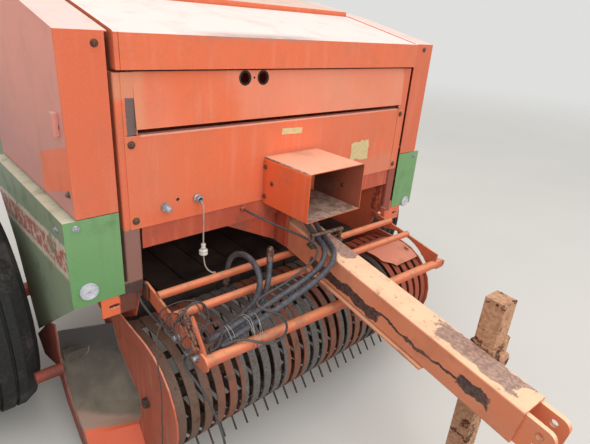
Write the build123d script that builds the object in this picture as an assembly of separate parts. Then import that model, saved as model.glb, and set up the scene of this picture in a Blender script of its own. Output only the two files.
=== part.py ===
from build123d import *
import math
import os

# Round baler with a fixed chamber, towed, millimetres. +Z up, ground at z = 0, travel towards -Y.
# Everything is drawn with the front panel at y = 0, then moved so that the origin is under its middle.
# "left" is the machine's left when looking forwards, which is +X.

# Chamber and side walls
chamber_width = 1222
wall = 6
split_y = 800
tailgate_gap = 6
post_width = 51
post_depth = 60
post_sheet = 5
post_bend_r = 8
post_bottom_z = 675
post_top_z = 1342
rear_post_width = 40
rear_post_depth = 45
rear_post_top_z = 1560
wall_top_front_z = 1424
wall_bottom_z = 412
wall_foot = (260, 520)       # y where the low edge starts to rise, z at its front end
wall_top_rear_z = 1555
foot_plate = (-14, 90)     # y range of the plate that holds the windguard
bracket_width = 25
bracket_outer_x = 755
bracket_z = (612, 716)
bracket_slot = (34, 14)
bracket_slot_at = (716, 645)     # x, z

# Front covers
sheet = 3
clearance = 0.3
bearing_clearance = 0.05
hood_half = 650
hood_front_z = 1445
hood_face_bottom_z = 1350
hood_proud = 16
hood_length = 400
hood_slope = 0.22
hood_lip = 30
hood_gap = 8
hood_pin_inset = (8, 9)     # ahead of the hood's rear edge, below its top line
hood_pin_r = 5
hood_pin_proud = 6
stay_r = 5
stay_height = 170
panel_back = 25
cover_step = 18
cover_face = 24
cover_lip = 40
cover_slope = 0.14
upper_panel_bottom_z = 1190
upper_panel_lean = 10
lower_panel_top_z = 1172
lower_panel_bottom_z = 888
port_holes = ((-241, 1320, 18), (-168, 1320, 18), (-204, 1321, 4))     # x, z, radius
twine_holes = ((-534, 940, 12), (-489, 956, 6), (-420, 948, 12))       # x, z, radius
eyelet_r = 9
eyelet_reach = 22
guide_flange_r = 15
panel_gap = 3
beam_bottom_z = 816
beam_height = 70
beam_depth = 80
beam_front_y = 5
beam_wall = 6
saddle_plate = 12
saddle_reach = 250
hose_ports = (-34, 8)        # x
hose_port_z = 850
hose_port_r = 13
hose_port_front_y = -30
cable_port = (-235, 870)     # x, z

# PTO guard, gearbox and stub shaft
guard_left_x = 121
guard_right_x = -147
guard_bottom_z = 878
guard_top_z = 1051
guard_reach = 240
guard_bend_r = 12
shaft_x = -13
shaft_z = 962
stub_r = 17.4
stub_length = 76
journal_r = 22
seal_r = 46
gearbox_size = (170, 150, 150)
gearbox_back_gap = 22
gearbox_rise = 8
gear_flange_r = 62
gear_tube_r = 34
case_corner_r = 20
journal_rear_y = 39
seal_front_y = -24

# Side guards
guard_inner_x = 680
door_x = 800
shield_x = 835
shield_top_z = 953
shield_front_bottom_z = 680
door_rear_y = 770
door_pin = (793, 778)      # x, y
door_pin_r = 5
door_hinges = (1010, 1500)
door_knuckle = 60
door_gap = 3
door_top_gap = 2
door_rib = (24, 14)          # width, depth
door_ribs = (250, 520)       # y
latch_z = 1180
ledge_inner_x = 770
shield_outline = (           # y, z, below the ledge
    (766, 813),
    (644, 647),
    (505, 315),
)
shield_arms = (              # y, z
    (705, 860),
    (470, 480),
)
shield_arm_r = 14
reflector_r = 27
reflector_place = (787, 727)     # x, z
reflector_thick = 7

# Drawbar and hitch
drawbar_width = 102
drawbar_height = 114
drawbar_wall = 8
drawbar_yaw = 5.14
drawbar_pitch = 7.13
drawbar_rear_top_z = 804.5
drawbar_length = 1045
clevis_length = 84
clevis_plate = 14
clevis_hole_r = 11
clevis_hole_pitch = 42
clevis_hole_back = 37     # from the cheeks' front edge
clevis_corner = 26
flange_width = 124
flange_thick = 6
flange_along = (200, 760)
bridge_along = 220
bridge_height = 34
bridge_r = 7
bridge_half = 66

# Parking stand
stand_tube = 60
stand_along = 850
stand_clearance = 0.8
stand_sleeve_wall = 6
stand_sleeve_length = 74
stand_sleeve_z = 668
stand_top_z = 848
stand_foot = 130
stand_foot_thick = 10
stand_boss_r = 30
stand_pin_r = 9
stand_handle = 70

# Axle and wheels
axle_y = 650
axle_z = 420
axle_beam = 90
axle_beam_top_z = 405
axle_beam_half = 700
axle_plate = 20
axle_plate_half = 70
axle_plate_rise = 60
axle_saddle_half = 90
spindle_over = 50
spindle_r = 28
wheel_x = 1028
tyre_r = 420
tyre_width = 290
rim_r = 196
rim_width = 236
rim_sheet = 6
hub_r = 52
hub_length = 120
hub_offset = 52
rim_holes = 8
rim_hole_r = 15
rim_hole_ring = 146
stud_count = 6
stud_ring = 84
stud_r = 8
tread_grooves = (-52, 0, 52)
groove_width = 12
groove_depth = 14

# Floor belts behind the pickup
roller_r = 50
belt_thick = 6
belt_front_y = 205
belt_rear_y = 735
belt_axis_z = 470
belt_count = 10
belt_gap = 7
roller_shaft_r = 20

# Pickup
reel_y = -95
reel_z = 305
reel_tube_r = 30
reel_shaft_r = 17
tine_reach = 221
tine_knee = 170
tine_sweep = 16
tine_wire = 5
tine_coil_r = 20
tine_coil_length = 34
bar_ring_r = 120
bar_r = 14
bar_count = 4
reel_phase = 35           # degrees
spider_thick = 6
spider_count = 4
band_y = -80
band_z = 330
band_r = 200
band_thick = 5
band_width = 29
band_pitch = 48
band_rear_y = 70
band_foot_y = 92
band_rail = 14
pickup_half = 668
pickup_plate = 6
pickup_pivot_y = 232
pickup_pivot_z = 520
pickup_lift = 10          # degrees
pivot_r = 16
pivot_boss_r = 34
side_rim_r = 214
end_shield_x = 840
trough_points = (         # y and z at the side plate, y and z at the outer plate
    (150, 480, 205, 484),
    (112, 400, 211, 384),
    (30, 335, 186, 292),
    (-40, 280, 138, 218),
    (-34, 200, 78, 172),
    (-12, 142, 42, 142),
    (-62, 62, -8, 62),
)
outer_plate = (           # y, z
    (212, 508),
    (292, 472),
    (492, 304),
    (430, 246),
    (272, 300),
    (200, 176),
    (96, 84),
    (20, 44),
    (-20, 56),
    (44, 124),
    (142, 212),
    (192, 292),
    (217, 388),
)
arm_box = (165, 195, 380, 410)     # y range, z range of the bar that carries the outer plate
gauge_stub = (202, 332)   # y, z
gauge_stub_r = 20
gauge_stub_wall = 4
gauge_stub_length = 84

# Windguard over the pickup
windguard_y = 14
windguard_z = 660
wind_pin_r = 10
strap_x = 598
strap_width = 55
strap_thick = 8
strap_end = (-326, 585)   # y, z
lift_clear = 28
wind_tubes = (            # y, z at the right strap, z at the left plate, radius, overhang on the left
    (-60, 672, 650, 14, 4),
    (-165, 656, 622, 14, 4),
    (-326, 585, 532, 19, 48),
)
wind_plate = (            # y, z
    (40, 664),
    (-338, 586),
    (-334, 512),
    (-215, 528),
    (-60, 590),
    (10, 632),
    (40, 640),
)

# Tailgate
tailgate_hinge_y = 803
tailgate_hinge_z = 1628
hinge_lug = 12
hinge_lug_depth = 60
hinge_pin_r = 14
hinge_boss_r = 26
hinge_ear_r = 30
hinge_block = (900, 1560)     # rear y, low z
tailgate_outline = (      # y, z
    (1020, 1598),
    (1270, 1492),
    (1432, 1262),
    (1476, 1000),
    (1398, 722),
    (1214, 524),
    (985, 436),
)
tailgate_top_z = 1604
tailgate_bottom_z = 430
shell_thick = 4
ram_x = 690
ram_base = (500, 752)     # y, z
ram_eye = (1003, 1352)    # y, z
ram_barrel_r = 27
ram_rod_r = 15
ram_stroke = 353
ram_show = 120
ram_eye_r = 26
ram_pin_r = 12
ram_eye_half = 18
tailgate_rim = 26
tailgate_rib = (30, 22)      # width, depth
rib_margin = (70, 120)       # from the front edge, from the top and bottom
tailgate_ribs = (-420, -140, 140, 420)     # x
guard_outline = (         # y, z
    (812, 1060),
    (900, 1100),
    (1300, 1080),
    (1372, 930),
    (1290, 730),
    (1120, 620),
    (812, 600),
)
guard_x = 760
lamp_size = (110, 46, 130)   # x, y, z
lamp_place = (520, 640)      # x, z
lens_thick = 8
lamp_stand = 20

# Cords: points by hand, each x, y, z
hose_d = 20
hose_a = (
    (-34, -30, 850), (-34, -68, 850), (-41, -120, 828), (-49, -172, 802), (-60, -224, 790),
    (-75, -264, 784), (-99, -294, 770), (-135, -312, 750), (-186, -314, 727), (-250, -308, 703),
    (-322, -300, 679), (-392, -290, 654), (-452, -282, 634), (-500, -278, 622), (-534, -276, 612),
    (-549, -257, 596), (-534, -238, 580), (-482, -237, 593), (-428, -237, 609), (-380, -237, 630),
    (-346, -237, 658), (-328, -232, 698), (-318, -208, 738), (-314, -164, 762), (-314, -111, 762),
    (-318, -65, 738), (-321, -38, 696), (-322, -33, 649),
)
hose_b = (
    (8, -30, 850), (8, -70, 850), (0, -122, 828), (-16, -176, 803), (-31, -226, 790),
    (-46, -270, 785), (-68, -308, 778), (-100, -334, 764), (-144, -346, 745), (-202, -346, 721),
    (-272, -338, 693), (-346, -328, 664), (-410, -314, 636), (-462, -304, 613), (-498, -299, 600),
    (-530, -296, 590), (-545, -277, 574), (-530, -258, 558), (-480, -257, 570), (-424, -255, 586),
    (-374, -251, 604), (-330, -241, 630), (-294, -225, 664), (-268, -203, 704), (-248, -180, 742),
)
hose_end_r = 13
hose_end_length = 52
lamp_cable_d = 8
lamp_cable = (
    (-235, -8, 870), (-235, -34, 870), (-216, -62, 858), (-181, -98, 839), (-147, -143, 821),
    (-120, -190, 808), (-104, -236, 799), (-108, -268, 786), (-136, -288, 770), (-182, -292, 750),
    (-240, -290, 728), (-300, -287, 710), (-350, -286, 702), (-384, -291, 700), (-402, -307, 697),
    (-398, -329, 691), (-374, -345, 681), (-345, -355, 662), (-325, -362, 636), (-319, -366, 606),
    (-333, -367, 582), (-363, -365, 573), (-396, -361, 579), (-424, -354, 594), (-450, -343, 606),
    (-478, -326, 614), (-509, -318, 609),
)
trip_cable_d = 8
trip_cable = (
    (-636, 9.3, 694), (-636, 9.1, 662), (-633, -6, 632), (-626, -42, 610), (-622, -92, 602),
    (-622, -138, 606), (-625, -178, 624), (-620, -204, 656), (-602, -212, 690), (-568, -202, 706),
    (-530, -192, 696), (-507, -193, 665), (-504, -202, 632), (-524, -210, 606), (-560, -221, 584),
    (-592, -234, 564), (-622, -252, 560), (-636, -283, 556), (-625, -320, 532), (-601, -350, 468),
    (-578, -367, 388), (-558, -371, 302), (-542, -368, 214), (-536, -372, 130), (-528, -392, 55),
    (-500, -430, 13), (-450, -456, 6.5),
)
string_d = 4
loose_string = (
    (-606.4, -150, 642), (-634, -152, 643), (-664, -172, 630), (-686, -208, 586), (-692, -232, 526),
    (-690, -237, 462), (-688, -232, 404), (-690, -229, 346), (-688, -226, 288), (-691, -223, 230),
    (-688, -222, 172), (-690, -224, 118),
)
twine_d = 5
twine_drop = (
    (-420, -16, 945), (-420, -32, 944), (-421, -40, 930), (-421, -41, 906), (-420, -39, 862),
    (-421, -37, 806), (-420, -37, 744), (-416, -40, 712), (-405, -46, 692), (-390, -50, 682),
)
bead_r = 15
bead_length = 22
bead_z = (756, 792)          # low end of the large bead, low end of the small one

inner_x = chamber_width / 2
outer_x = inner_x + wall
hood_rear_z = hood_front_z + hood_slope * hood_length
hood_pin = (hood_length - hood_pin_inset[0], hood_rear_z - hood_pin_inset[1])     # y, z
nodes = {}


def box(x0, x1, y0, y1, z0, z1):
    return Pos((x0 + x1) / 2, (y0 + y1) / 2, (z0 + z1) / 2) * Box(x1 - x0, y1 - y0, z1 - z0)


def prism_x(points, x0, x1):
    """A (y, z) outline, extruded from x0 to x1."""
    face = make_face(Polyline(*points, close=True))
    return extrude(Plane.YZ.offset(x0) * face, x1 - x0)


def rod_x(y, z, r, x0, x1):
    return Pos((x0 + x1) / 2, y, z) * Rot(0, 90, 0) * Cylinder(r, x1 - x0)


def rod_y(x, z, r, y0, y1):
    return Pos(x, (y0 + y1) / 2, z) * Rot(90, 0, 0) * Cylinder(r, y1 - y0)


def rod_z(x, y, r, z0, z1):
    return Pos(x, y, (z0 + z1) / 2) * Cylinder(r, z1 - z0)


def rod_between(a, b, r):
    """A round bar from point a to point b."""
    start, end = Vector(*a), Vector(*b)
    plane = Plane(origin=start, z_dir=end - start)
    return extrude(plane * Circle(r), (end - start).length)


def cord_tube(points, diameter):
    """A tube along straight runs, joined by arcs as large as the runs allow."""
    route = [Vector(*point) for point in points]
    radii = []
    for before, at, after in zip(route, route[1:], route[2:]):
        turn = math.radians((at - before).get_angle(after - at))
        radii.append(0.45 * min((at - before).length, (after - at).length) / math.tan(turn / 2))
    path = FilletPolyline(*route, radius=radii)
    tube = sweep(Plane(origin=route[0], z_dir=route[1] - route[0]) * Circle(diameter / 2), path=path)
    return tube, path.length, min(radii)


def mirrored(solid):
    return mirror(solid, about=Plane.YZ)


def add_pair(name, left_solid):
    nodes[name + "_left"] = left_solid
    nodes[name + "_right"] = mirrored(left_solid)


def hood_top(y):
    return hood_front_z + hood_slope * y


def cover_top(y):
    return hood_top(hood_length) + cover_step + cover_slope * (y - hood_length)


def tailgate_rear_y(z):
    """How far back the tailgate's shell reaches at a height on its rear faces."""
    for (y0, z0), (y1, z1) in zip(tailgate_outline, tailgate_outline[1:]):
        if z1 <= z <= z0:
            return y0 + (y1 - y0) * (z - z0) / (z1 - z0)
    return tailgate_outline[0][0]


def side_frame():
    """The wall plate with its folded posts, the shield's bracket and arms, and the pins it carries."""
    cover_y = hood_length + hood_gap + sheet
    notch_y = split_y - 30
    outline = [
        (panel_back, post_bottom_z), (panel_back, wall_top_front_z), (hood_length, hood_top(hood_length) - 12),
        (cover_y, hood_top(hood_length) - 10), (cover_y, cover_top(cover_y) - sheet),
        (notch_y, cover_top(notch_y) - sheet), (split_y, wall_top_rear_z), (split_y, wall_bottom_z),
        (wall_foot[0], wall_bottom_z), (foot_plate[1], wall_foot[1]),
    ]
    frame = prism_x(outline, inner_x, outer_x)
    post = box(outer_x, outer_x + post_width, 0, post_depth, post_bottom_z, post_top_z)
    post = fillet(post.edges().filter_by(Axis.Z).group_by(Axis.Y)[0], post_bend_r)
    post -= box(outer_x + post_sheet, outer_x + post_width - post_sheet, post_sheet, post_depth,
                post_bottom_z, post_top_z)
    rear_x, rear_y = outer_x + rear_post_width, split_y - 5
    rear_post = box(outer_x, rear_x, rear_y - rear_post_depth, rear_y, axle_beam_top_z, rear_post_top_z)
    rear_post -= box(outer_x, rear_x - post_sheet, rear_y - rear_post_depth + post_sheet, rear_y,
                     axle_beam_top_z, rear_post_top_z)
    bracket_x = outer_x + post_width
    bracket = box(bracket_x - bracket_width, bracket_outer_x, sheet, sheet + 6, *bracket_z)
    slot_x, slot_z = bracket_slot_at
    slot = Pos(slot_x, sheet, slot_z) * Rot(90, 0, 0) * extrude(SlotOverall(*bracket_slot), 40, both=True)
    frame += post + rear_post + (bracket - slot)
    for y, z in shield_arms:
        frame += rod_x(y, z, shield_arm_r, outer_x, shield_x - sheet)
    frame += rod_x(*ram_base, ram_pin_r, outer_x, ram_x + ram_eye_half + 16)
    frame += rod_x(*hood_pin, hood_pin_r, outer_x, hood_half + hood_pin_proud)
    frame += box(inner_x, outer_x, *foot_plate, windguard_z - 24, post_bottom_z + 20)
    frame += rod_x(windguard_y, windguard_z, wind_pin_r, strap_x - 6, inner_x + 2)
    frame += rod_x(pickup_pivot_y, pickup_pivot_z, pivot_r, outer_x, pickup_half + pickup_plate + 12)
    frame += rod_x(pickup_pivot_y, pickup_pivot_z, pivot_boss_r, outer_x, pickup_half - 8)
    ear_x = outer_x + hinge_lug
    ear = box(outer_x, ear_x, split_y - hinge_lug_depth, split_y - 4, rear_post_top_z - 40, tailgate_hinge_z)
    ear += rod_x(tailgate_hinge_y, tailgate_hinge_z, hinge_ear_r, outer_x, ear_x)
    frame += ear - rod_x(tailgate_hinge_y, tailgate_hinge_z, hinge_pin_r + bearing_clearance, outer_x, ear_x)
    hinge_x, hinge_y = door_pin
    for z in door_hinges:
        frame += box(outer_x, hinge_x + 6, hinge_y - 5, hinge_y + 5, z - 12, z)
        frame += rod_z(hinge_x, hinge_y, door_pin_r, z, z + door_knuckle)
    return frame


def build_frames():
    add_pair("side_frame", side_frame())
    rear_y, top_z = beam_front_y + beam_depth, beam_bottom_z + beam_height
    beam = box(-inner_x, inner_x, beam_front_y, rear_y, beam_bottom_z, top_z)
    beam -= box(-inner_x, inner_x, beam_front_y + beam_wall, rear_y - beam_wall,
                beam_bottom_z + beam_wall, top_z - beam_wall)
    half = drawbar_width / 2 + 1
    low_z = drawbar_rear_top_z - drawbar_height + 6
    for side in (-1, 1):
        x0, x1 = sorted((side * half, side * (half + saddle_plate)))
        beam += Rot(0, 0, -drawbar_yaw) * box(x0, x1, -60, 70, low_z, beam_bottom_z + 12)
        gusset = make_face(Polyline((side * (half + 8), low_z), (side * (half + 8), beam_bottom_z),
                                    (side * (half + saddle_reach), beam_bottom_z), close=True))
        beam += extrude(Plane.XZ.offset(-beam_front_y - 24) * gusset, saddle_plate)
    for x in hose_ports:
        beam += rod_y(x, hose_port_z, hose_port_r, hose_port_front_y, beam_front_y)
    beam += rod_y(*cable_port, lamp_cable_d, -8, beam_front_y)
    nodes["front_crossbeam"] = beam


def folded_panel(x0, x1, z0, z1, lean=0.0, lip=panel_back):
    """A flat front sheet with its top and bottom edges folded back."""
    outline = [
        (-lean, z0), (0, z1), (lip, z1), (lip, z1 - sheet), (sheet, z1 - sheet),
        (sheet - lean, z0 + sheet), (lip - lean, z0 + sheet), (lip - lean, z0),
    ]
    return prism_x(outline, x0, x1)


def build_panels():
    half = outer_x - panel_gap
    lower = folded_panel(-half, half, lower_panel_bottom_z, lower_panel_top_z)
    lower -= rod_y(shaft_x, shaft_z, seal_r + 8, -20, 40)
    for x, z, r in twine_holes:
        lower -= rod_y(x, z, r, -20, 20)
    nodes["lower_front_panel"] = lower
    upper = folded_panel(-half, half, upper_panel_bottom_z, hood_face_bottom_z - 6, upper_panel_lean)
    for x, z, r in port_holes:
        upper -= rod_y(x, z, r, -20, 20)
    nodes["upper_front_panel"] = upper
    guides = []
    for (x, z, r), reach in ((twine_holes[0], eyelet_reach + 12), (twine_holes[2], eyelet_reach)):
        guide = rod_y(x, z, eyelet_r + 2, -reach, 0) + rod_y(x, z, r - clearance, 0, sheet + 8)
        guide += rod_y(x, z, guide_flange_r, -6, -clearance) + rod_y(x, z, guide_flange_r, sheet + clearance, 9)
        guides.append(guide)
    x, z, r = twine_holes[2]
    guides[1] -= rod_y(x, z, eyelet_r - 3, -eyelet_reach, sheet + 8)
    nodes["twine_guides"] = Compound(guides)


def sloped_lid(y0, y1, half, top, face_bottom, lip):
    """A lid that follows the top line, with a front face and turned-down side edges."""
    outer = [(y0, face_bottom), (y0, top(y0)), (y1, top(y1)), (y1, top(y1) - sheet),
             (y0 + sheet, top(y0 + sheet) - sheet), (y0 + sheet, face_bottom)]
    lid = prism_x(outer, -half, half)
    edge = [(y0, max(face_bottom, top(y0) - lip)), (y0, top(y0)), (y1, top(y1)), (y1, top(y1) - lip)]
    for x0 in (-half, half - sheet):
        lid += prism_x(edge, x0, x0 + sheet)
    return lid


def build_hood():
    hood = sloped_lid(-hood_proud, hood_length - 4, hood_half, hood_top, hood_face_bottom_z, hood_lip)
    hood -= rod_x(hood_pin[0], hood_pin[1], hood_pin_r + 0.05, -hood_half, hood_half)
    nodes["hood"] = hood


def build_top_cover():
    face_bottom = cover_top(hood_length) - cover_face
    cover = sloped_lid(hood_length + hood_gap, split_y - 4, hood_half, cover_top, face_bottom, cover_lip)
    for side in (-1, 1):
        x0, x1 = sorted((side * (inner_x - 2), side * (outer_x + hinge_lug + 2)))
        cover -= box(x0, x1, split_y - hinge_lug_depth - 5, split_y, rear_post_top_z - 60, tailgate_hinge_z)
    stay_y = hood_length + hood_gap + 20
    cover += rod_z(0, stay_y, stay_r, cover_top(stay_y) - sheet, cover_top(stay_y) + stay_height)
    nodes["top_cover"] = cover


def build_pto():
    guard = box(guard_right_x, guard_left_x, -guard_reach, -0.3, guard_bottom_z, guard_top_z)
    guard = fillet(guard.edges().filter_by(Axis.Y).group_by(Axis.Z)[-1], guard_bend_r)
    inside = box(guard_right_x + sheet, guard_left_x - sheet, -guard_reach, 0, guard_bottom_z + sheet,
                 guard_top_z - sheet)
    guard -= fillet(inside.edges().filter_by(Axis.Y).group_by(Axis.Z)[-1], guard_bend_r - sheet)
    nodes["pto_guard"] = guard
    width, depth, height = gearbox_size
    rear_y = gearbox_back_gap + depth
    case_z = shaft_z + gearbox_rise
    case = Pos(shaft_x, gearbox_back_gap + depth / 2, case_z) * Box(width, depth, height)
    case = fillet(case.edges().filter_by(Axis.Y), case_corner_r)
    case += rod_y(shaft_x, shaft_z, seal_r, seal_front_y, gearbox_back_gap + 4)
    side_x = shaft_x - width / 2
    case += rod_x(gearbox_back_gap + depth / 2, case_z, gear_flange_r, side_x - 14, side_x)
    case += rod_x(gearbox_back_gap + depth / 2, case_z, gear_tube_r, -inner_x, side_x)
    for x in (shaft_x - width / 4, shaft_x + width / 4):
        case += box(x - 5, x + 5, gearbox_back_gap + 12, rear_y - 12, case_z, case_z + height / 2 + 10)
    case -= rod_y(shaft_x, shaft_z, journal_r + bearing_clearance, seal_front_y, journal_rear_y + 1)
    nodes["gearbox"] = case
    stub = rod_y(shaft_x, shaft_z, stub_r, seal_front_y - stub_length, seal_front_y)
    nodes["pto_stub"] = stub + rod_y(shaft_x, shaft_z, journal_r, seal_front_y, journal_rear_y)


def door_side():
    """The upper side door: front, side and roof in one folded sheet, with ribs, a latch and two knuckles."""
    base = shield_top_z + door_gap
    front_z, middle_z = hood_top(0) - door_top_gap, hood_top(hood_length) - door_top_gap
    rear_z = cover_top(door_rear_y) - 2 * sheet
    side = [(0, base), (0, front_z), (hood_length, middle_z), (door_rear_y, rear_z), (door_rear_y, base)]
    door = prism_x(side, door_x - sheet, door_x)
    door += box(guard_inner_x, door_x, 0, sheet, base, front_z)
    roof = [(0, front_z), (hood_length, middle_z), (door_rear_y, rear_z), (door_rear_y, rear_z - sheet),
            (hood_length, middle_z - sheet), (0, front_z - sheet)]
    door += prism_x(roof, guard_inner_x - 8, door_x)
    width, depth = door_rib
    for y in door_ribs:
        rib = box(door_x - sheet - depth, door_x - sheet, y, y + width, base + 20, front_z - 40)
        rib -= box(door_x - sheet - depth + 2, door_x - sheet, y + 2, y + width - 2, base + 20, front_z - 40)
        door += rib
    door += box(door_x, door_x + 14, 40, 64, latch_z, latch_z + 60)
    hinge_x, hinge_y = door_pin
    for z in door_hinges:
        low, high = z + clearance, z + door_knuckle - 4
        door += box(hinge_x - 2, door_x - sheet, door_rear_y - 60, hinge_y, low, high)
        door += rod_z(hinge_x, hinge_y, door_pin_r + 4, low, high)
        door -= rod_z(hinge_x, hinge_y, door_pin_r + bearing_clearance, low, high + 4)
    return door


def build_side_guards():
    rear_y = shield_outline[0][0]
    profile = [(0, shield_front_bottom_z), (0, shield_top_z), (rear_y, shield_top_z), *shield_outline]
    shield = prism_x(profile, shield_x - sheet, shield_x)
    shield += box(guard_inner_x, shield_x, 0, sheet, shield_front_bottom_z, shield_top_z)
    shield += box(ledge_inner_x, shield_x, 0, rear_y, shield_top_z - sheet, shield_top_z)
    add_pair("lower_shield", shield)
    add_pair("side_door", door_side())
    lens = rod_y(*reflector_place, reflector_r, -reflector_thick, -clearance)
    lens = fillet(lens.edges().group_by(Axis.Y)[0], 3)
    nodes["front_reflectors"] = Compound([lens, mirrored(lens)])


def on_drawbar(solid):
    """Takes a solid drawn along -Y with its rear top edge at the origin to the drawbar's place."""
    return Pos(0, 0, drawbar_rear_top_z) * Rot(0, 0, -drawbar_yaw) * Rot(drawbar_pitch, 0, 0) * solid


def build_drawbar():
    half, height, wall_in = drawbar_width / 2, drawbar_height, drawbar_wall
    beam = box(-half, half, -drawbar_length, 60, -height, 0)
    beam = fillet(beam.edges().filter_by(Axis.Y), 7)
    beam -= box(-half + wall_in, half - wall_in, -drawbar_length, 60, -height + wall_in, -wall_in)
    near, far = flange_along
    beam += box(-flange_width / 2, flange_width / 2, -far, -near, -height - flange_thick, -height)
    nodes["drawbar"] = on_drawbar(beam)
    cheek = box(half - drawbar_wall - clevis_plate, half - drawbar_wall, -drawbar_length - clevis_length,
                -drawbar_length + 90, -height + drawbar_wall, -drawbar_wall)
    cheek = fillet(cheek.edges().filter_by(Axis.X).group_by(Axis.Y)[0], clevis_corner)
    clevis = cheek + mirrored(cheek)
    reach = -drawbar_length - clevis_length + clevis_hole_back
    for z in (-height / 2 - clevis_hole_pitch / 2, -height / 2 + clevis_hole_pitch / 2):
        clevis -= rod_x(reach, z, clevis_hole_r, -half, half)
    clevis += box(-half + drawbar_wall, half - drawbar_wall, -drawbar_length + 40, -drawbar_length + 52,
                  -height + drawbar_wall, -drawbar_wall)
    nodes["hitch_clevis"] = on_drawbar(clevis)
    bridge = rod_x(-bridge_along, bridge_height, bridge_r, -bridge_half - 8, bridge_half + 8)
    for side in (-1, 1):
        bridge += rod_z(side * bridge_half, -bridge_along, bridge_r, -12, bridge_height)
        x0, x1 = sorted((side * half, side * (bridge_half + 8)))
        bridge += box(x0, x1, -bridge_along - 15, -bridge_along + 15, -14, -4)
    nodes["hose_bridge"] = on_drawbar(bridge)


def build_stand():
    """A square leg in a short sleeve on the drawbar's left side, held by a cross pin with a handle."""
    side = drawbar_width / 2 + clearance + stand_sleeve_wall + stand_clearance + stand_tube / 2
    yaw = math.radians(drawbar_yaw)
    y = -stand_along
    place = Pos(y * math.tan(yaw) + side / math.cos(yaw), y, 0) * Rot(0, 0, -drawbar_yaw)
    inner = stand_tube + 2 * stand_clearance
    outer = inner + 2 * stand_sleeve_wall
    bore = Box(inner, inner, stand_sleeve_length)
    sleeve = Box(outer, outer, stand_sleeve_length) - bore
    boss = Pos(0, -outer / 2 - 9, 0) * Rot(90, 0, 0) * Cylinder(stand_boss_r, 18)
    boss = fillet(boss.edges().group_by(Axis.Y)[0], 5)
    handle = rod_x(0, 0, stand_pin_r, outer / 2, outer / 2 + stand_handle)
    handle += rod_z(outer / 2 + stand_handle, 0, stand_pin_r, -34, 10)
    nodes["stand_sleeve"] = place * Pos(0, 0, stand_sleeve_z) * (sleeve + boss + handle)
    leg = place * Pos(0, 0, (stand_top_z + stand_foot_thick) / 2) * Box(
        stand_tube, stand_tube, stand_top_z - stand_foot_thick)
    foot = place * Pos(0, 0, stand_foot_thick / 2) * Box(stand_foot, stand_foot, stand_foot_thick)
    nodes["stand_leg"] = leg + foot


def build_axle():
    beam = box(-axle_beam_half, axle_beam_half, axle_y - axle_beam / 2, axle_y + axle_beam / 2,
               axle_beam_top_z - axle_beam, axle_beam_top_z)
    beam -= box(-axle_beam_half, axle_beam_half, axle_y - axle_beam / 2 + 8, axle_y + axle_beam / 2 - 8,
                axle_beam_top_z - axle_beam + 8, axle_beam_top_z - 8)
    for side in (-1, 1):
        x0, x1 = sorted((side * axle_beam_half, side * (axle_beam_half + axle_plate)))
        beam += box(x0, x1, axle_y - axle_plate_half, axle_y + axle_plate_half,
                    axle_beam_top_z - axle_beam - 5, axle_z + axle_plate_rise)
        x0, x1 = sorted((side * axle_beam_half, side * (wheel_x + spindle_over)))
        beam += rod_x(axle_y, axle_z, spindle_r, x0, x1)
        x0, x1 = sorted((side * inner_x, side * outer_x))
        beam += box(x0, x1, axle_y - axle_saddle_half, axle_y + axle_saddle_half,
                    axle_beam_top_z, wall_bottom_z)
    nodes["axle_beam"] = beam


def ring_x(points, x):
    """A (radius, offset along the axle) outline turned about the wheel's own axle."""
    face = make_face(Polyline(*points, close=True))
    solid = revolve(Plane.XY * face, Axis.Y)
    return Pos(x, axle_y, axle_z) * Rot(0, 0, -90) * solid


def tyre_outline():
    """The tyre's half section, walked round the outside with its tread grooves, then back inside."""
    half, inner = tyre_width / 2, rim_r
    shoulder = [(inner, 34), (inner + 14, 34), (inner + 40, 12), (inner + 110, 0), (tyre_r - 60, 4),
                (tyre_r - 22, 24), (tyre_r, 62)]
    lining = [(tyre_r - 26, 64), (tyre_r - 62, 22), (inner + 110, 18), (inner + 50, 34), (inner, 58)]
    grooves = []
    for offset_x in tread_grooves:
        a, b = offset_x - groove_width / 2, offset_x + groove_width / 2
        grooves += [(tyre_r, a), (tyre_r - groove_depth, a + 2), (tyre_r - groove_depth, b - 2), (tyre_r, b)]
    out = [(r, -half + d) for r, d in shoulder] + grooves + [(r, half - d) for r, d in reversed(shoulder)]
    return out + [(r, half - d) for r, d in reversed(lining)] + [(r, -half + d) for r, d in lining]


def rim_outline():
    """The rim with its well, its dished disc and the hub, as a (radius, offset) section."""
    w, t, seat = rim_width / 2, rim_sheet, rim_r - clearance
    bore = spindle_r + bearing_clearance
    inner_end, outer_end = hub_offset - hub_length / 2, hub_offset + hub_length / 2
    disc_in, disc_out = hub_offset - 22, hub_offset - 12
    well = rim_r - 28
    return [(bore, inner_end), (hub_r, inner_end), (hub_r, disc_in), (120, disc_in + 4), (well, -t),
            (well, -w + 44), (seat - t, -w + 34), (seat - t, -w), (rim_r + 12, -w), (rim_r + 12, -w + t),
            (seat, -w + t), (seat, -w + 34), (well + t, -w + 46), (well + t, w - 46), (seat, w - 34),
            (seat, w - t), (rim_r + 12, w - t), (rim_r + 12, w), (seat - t, w), (seat - t, w - 34),
            (well, w - 44), (well, 4), (120, disc_out + 2), (hub_r, disc_out), (hub_r, outer_end),
            (bore, outer_end)]


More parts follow.
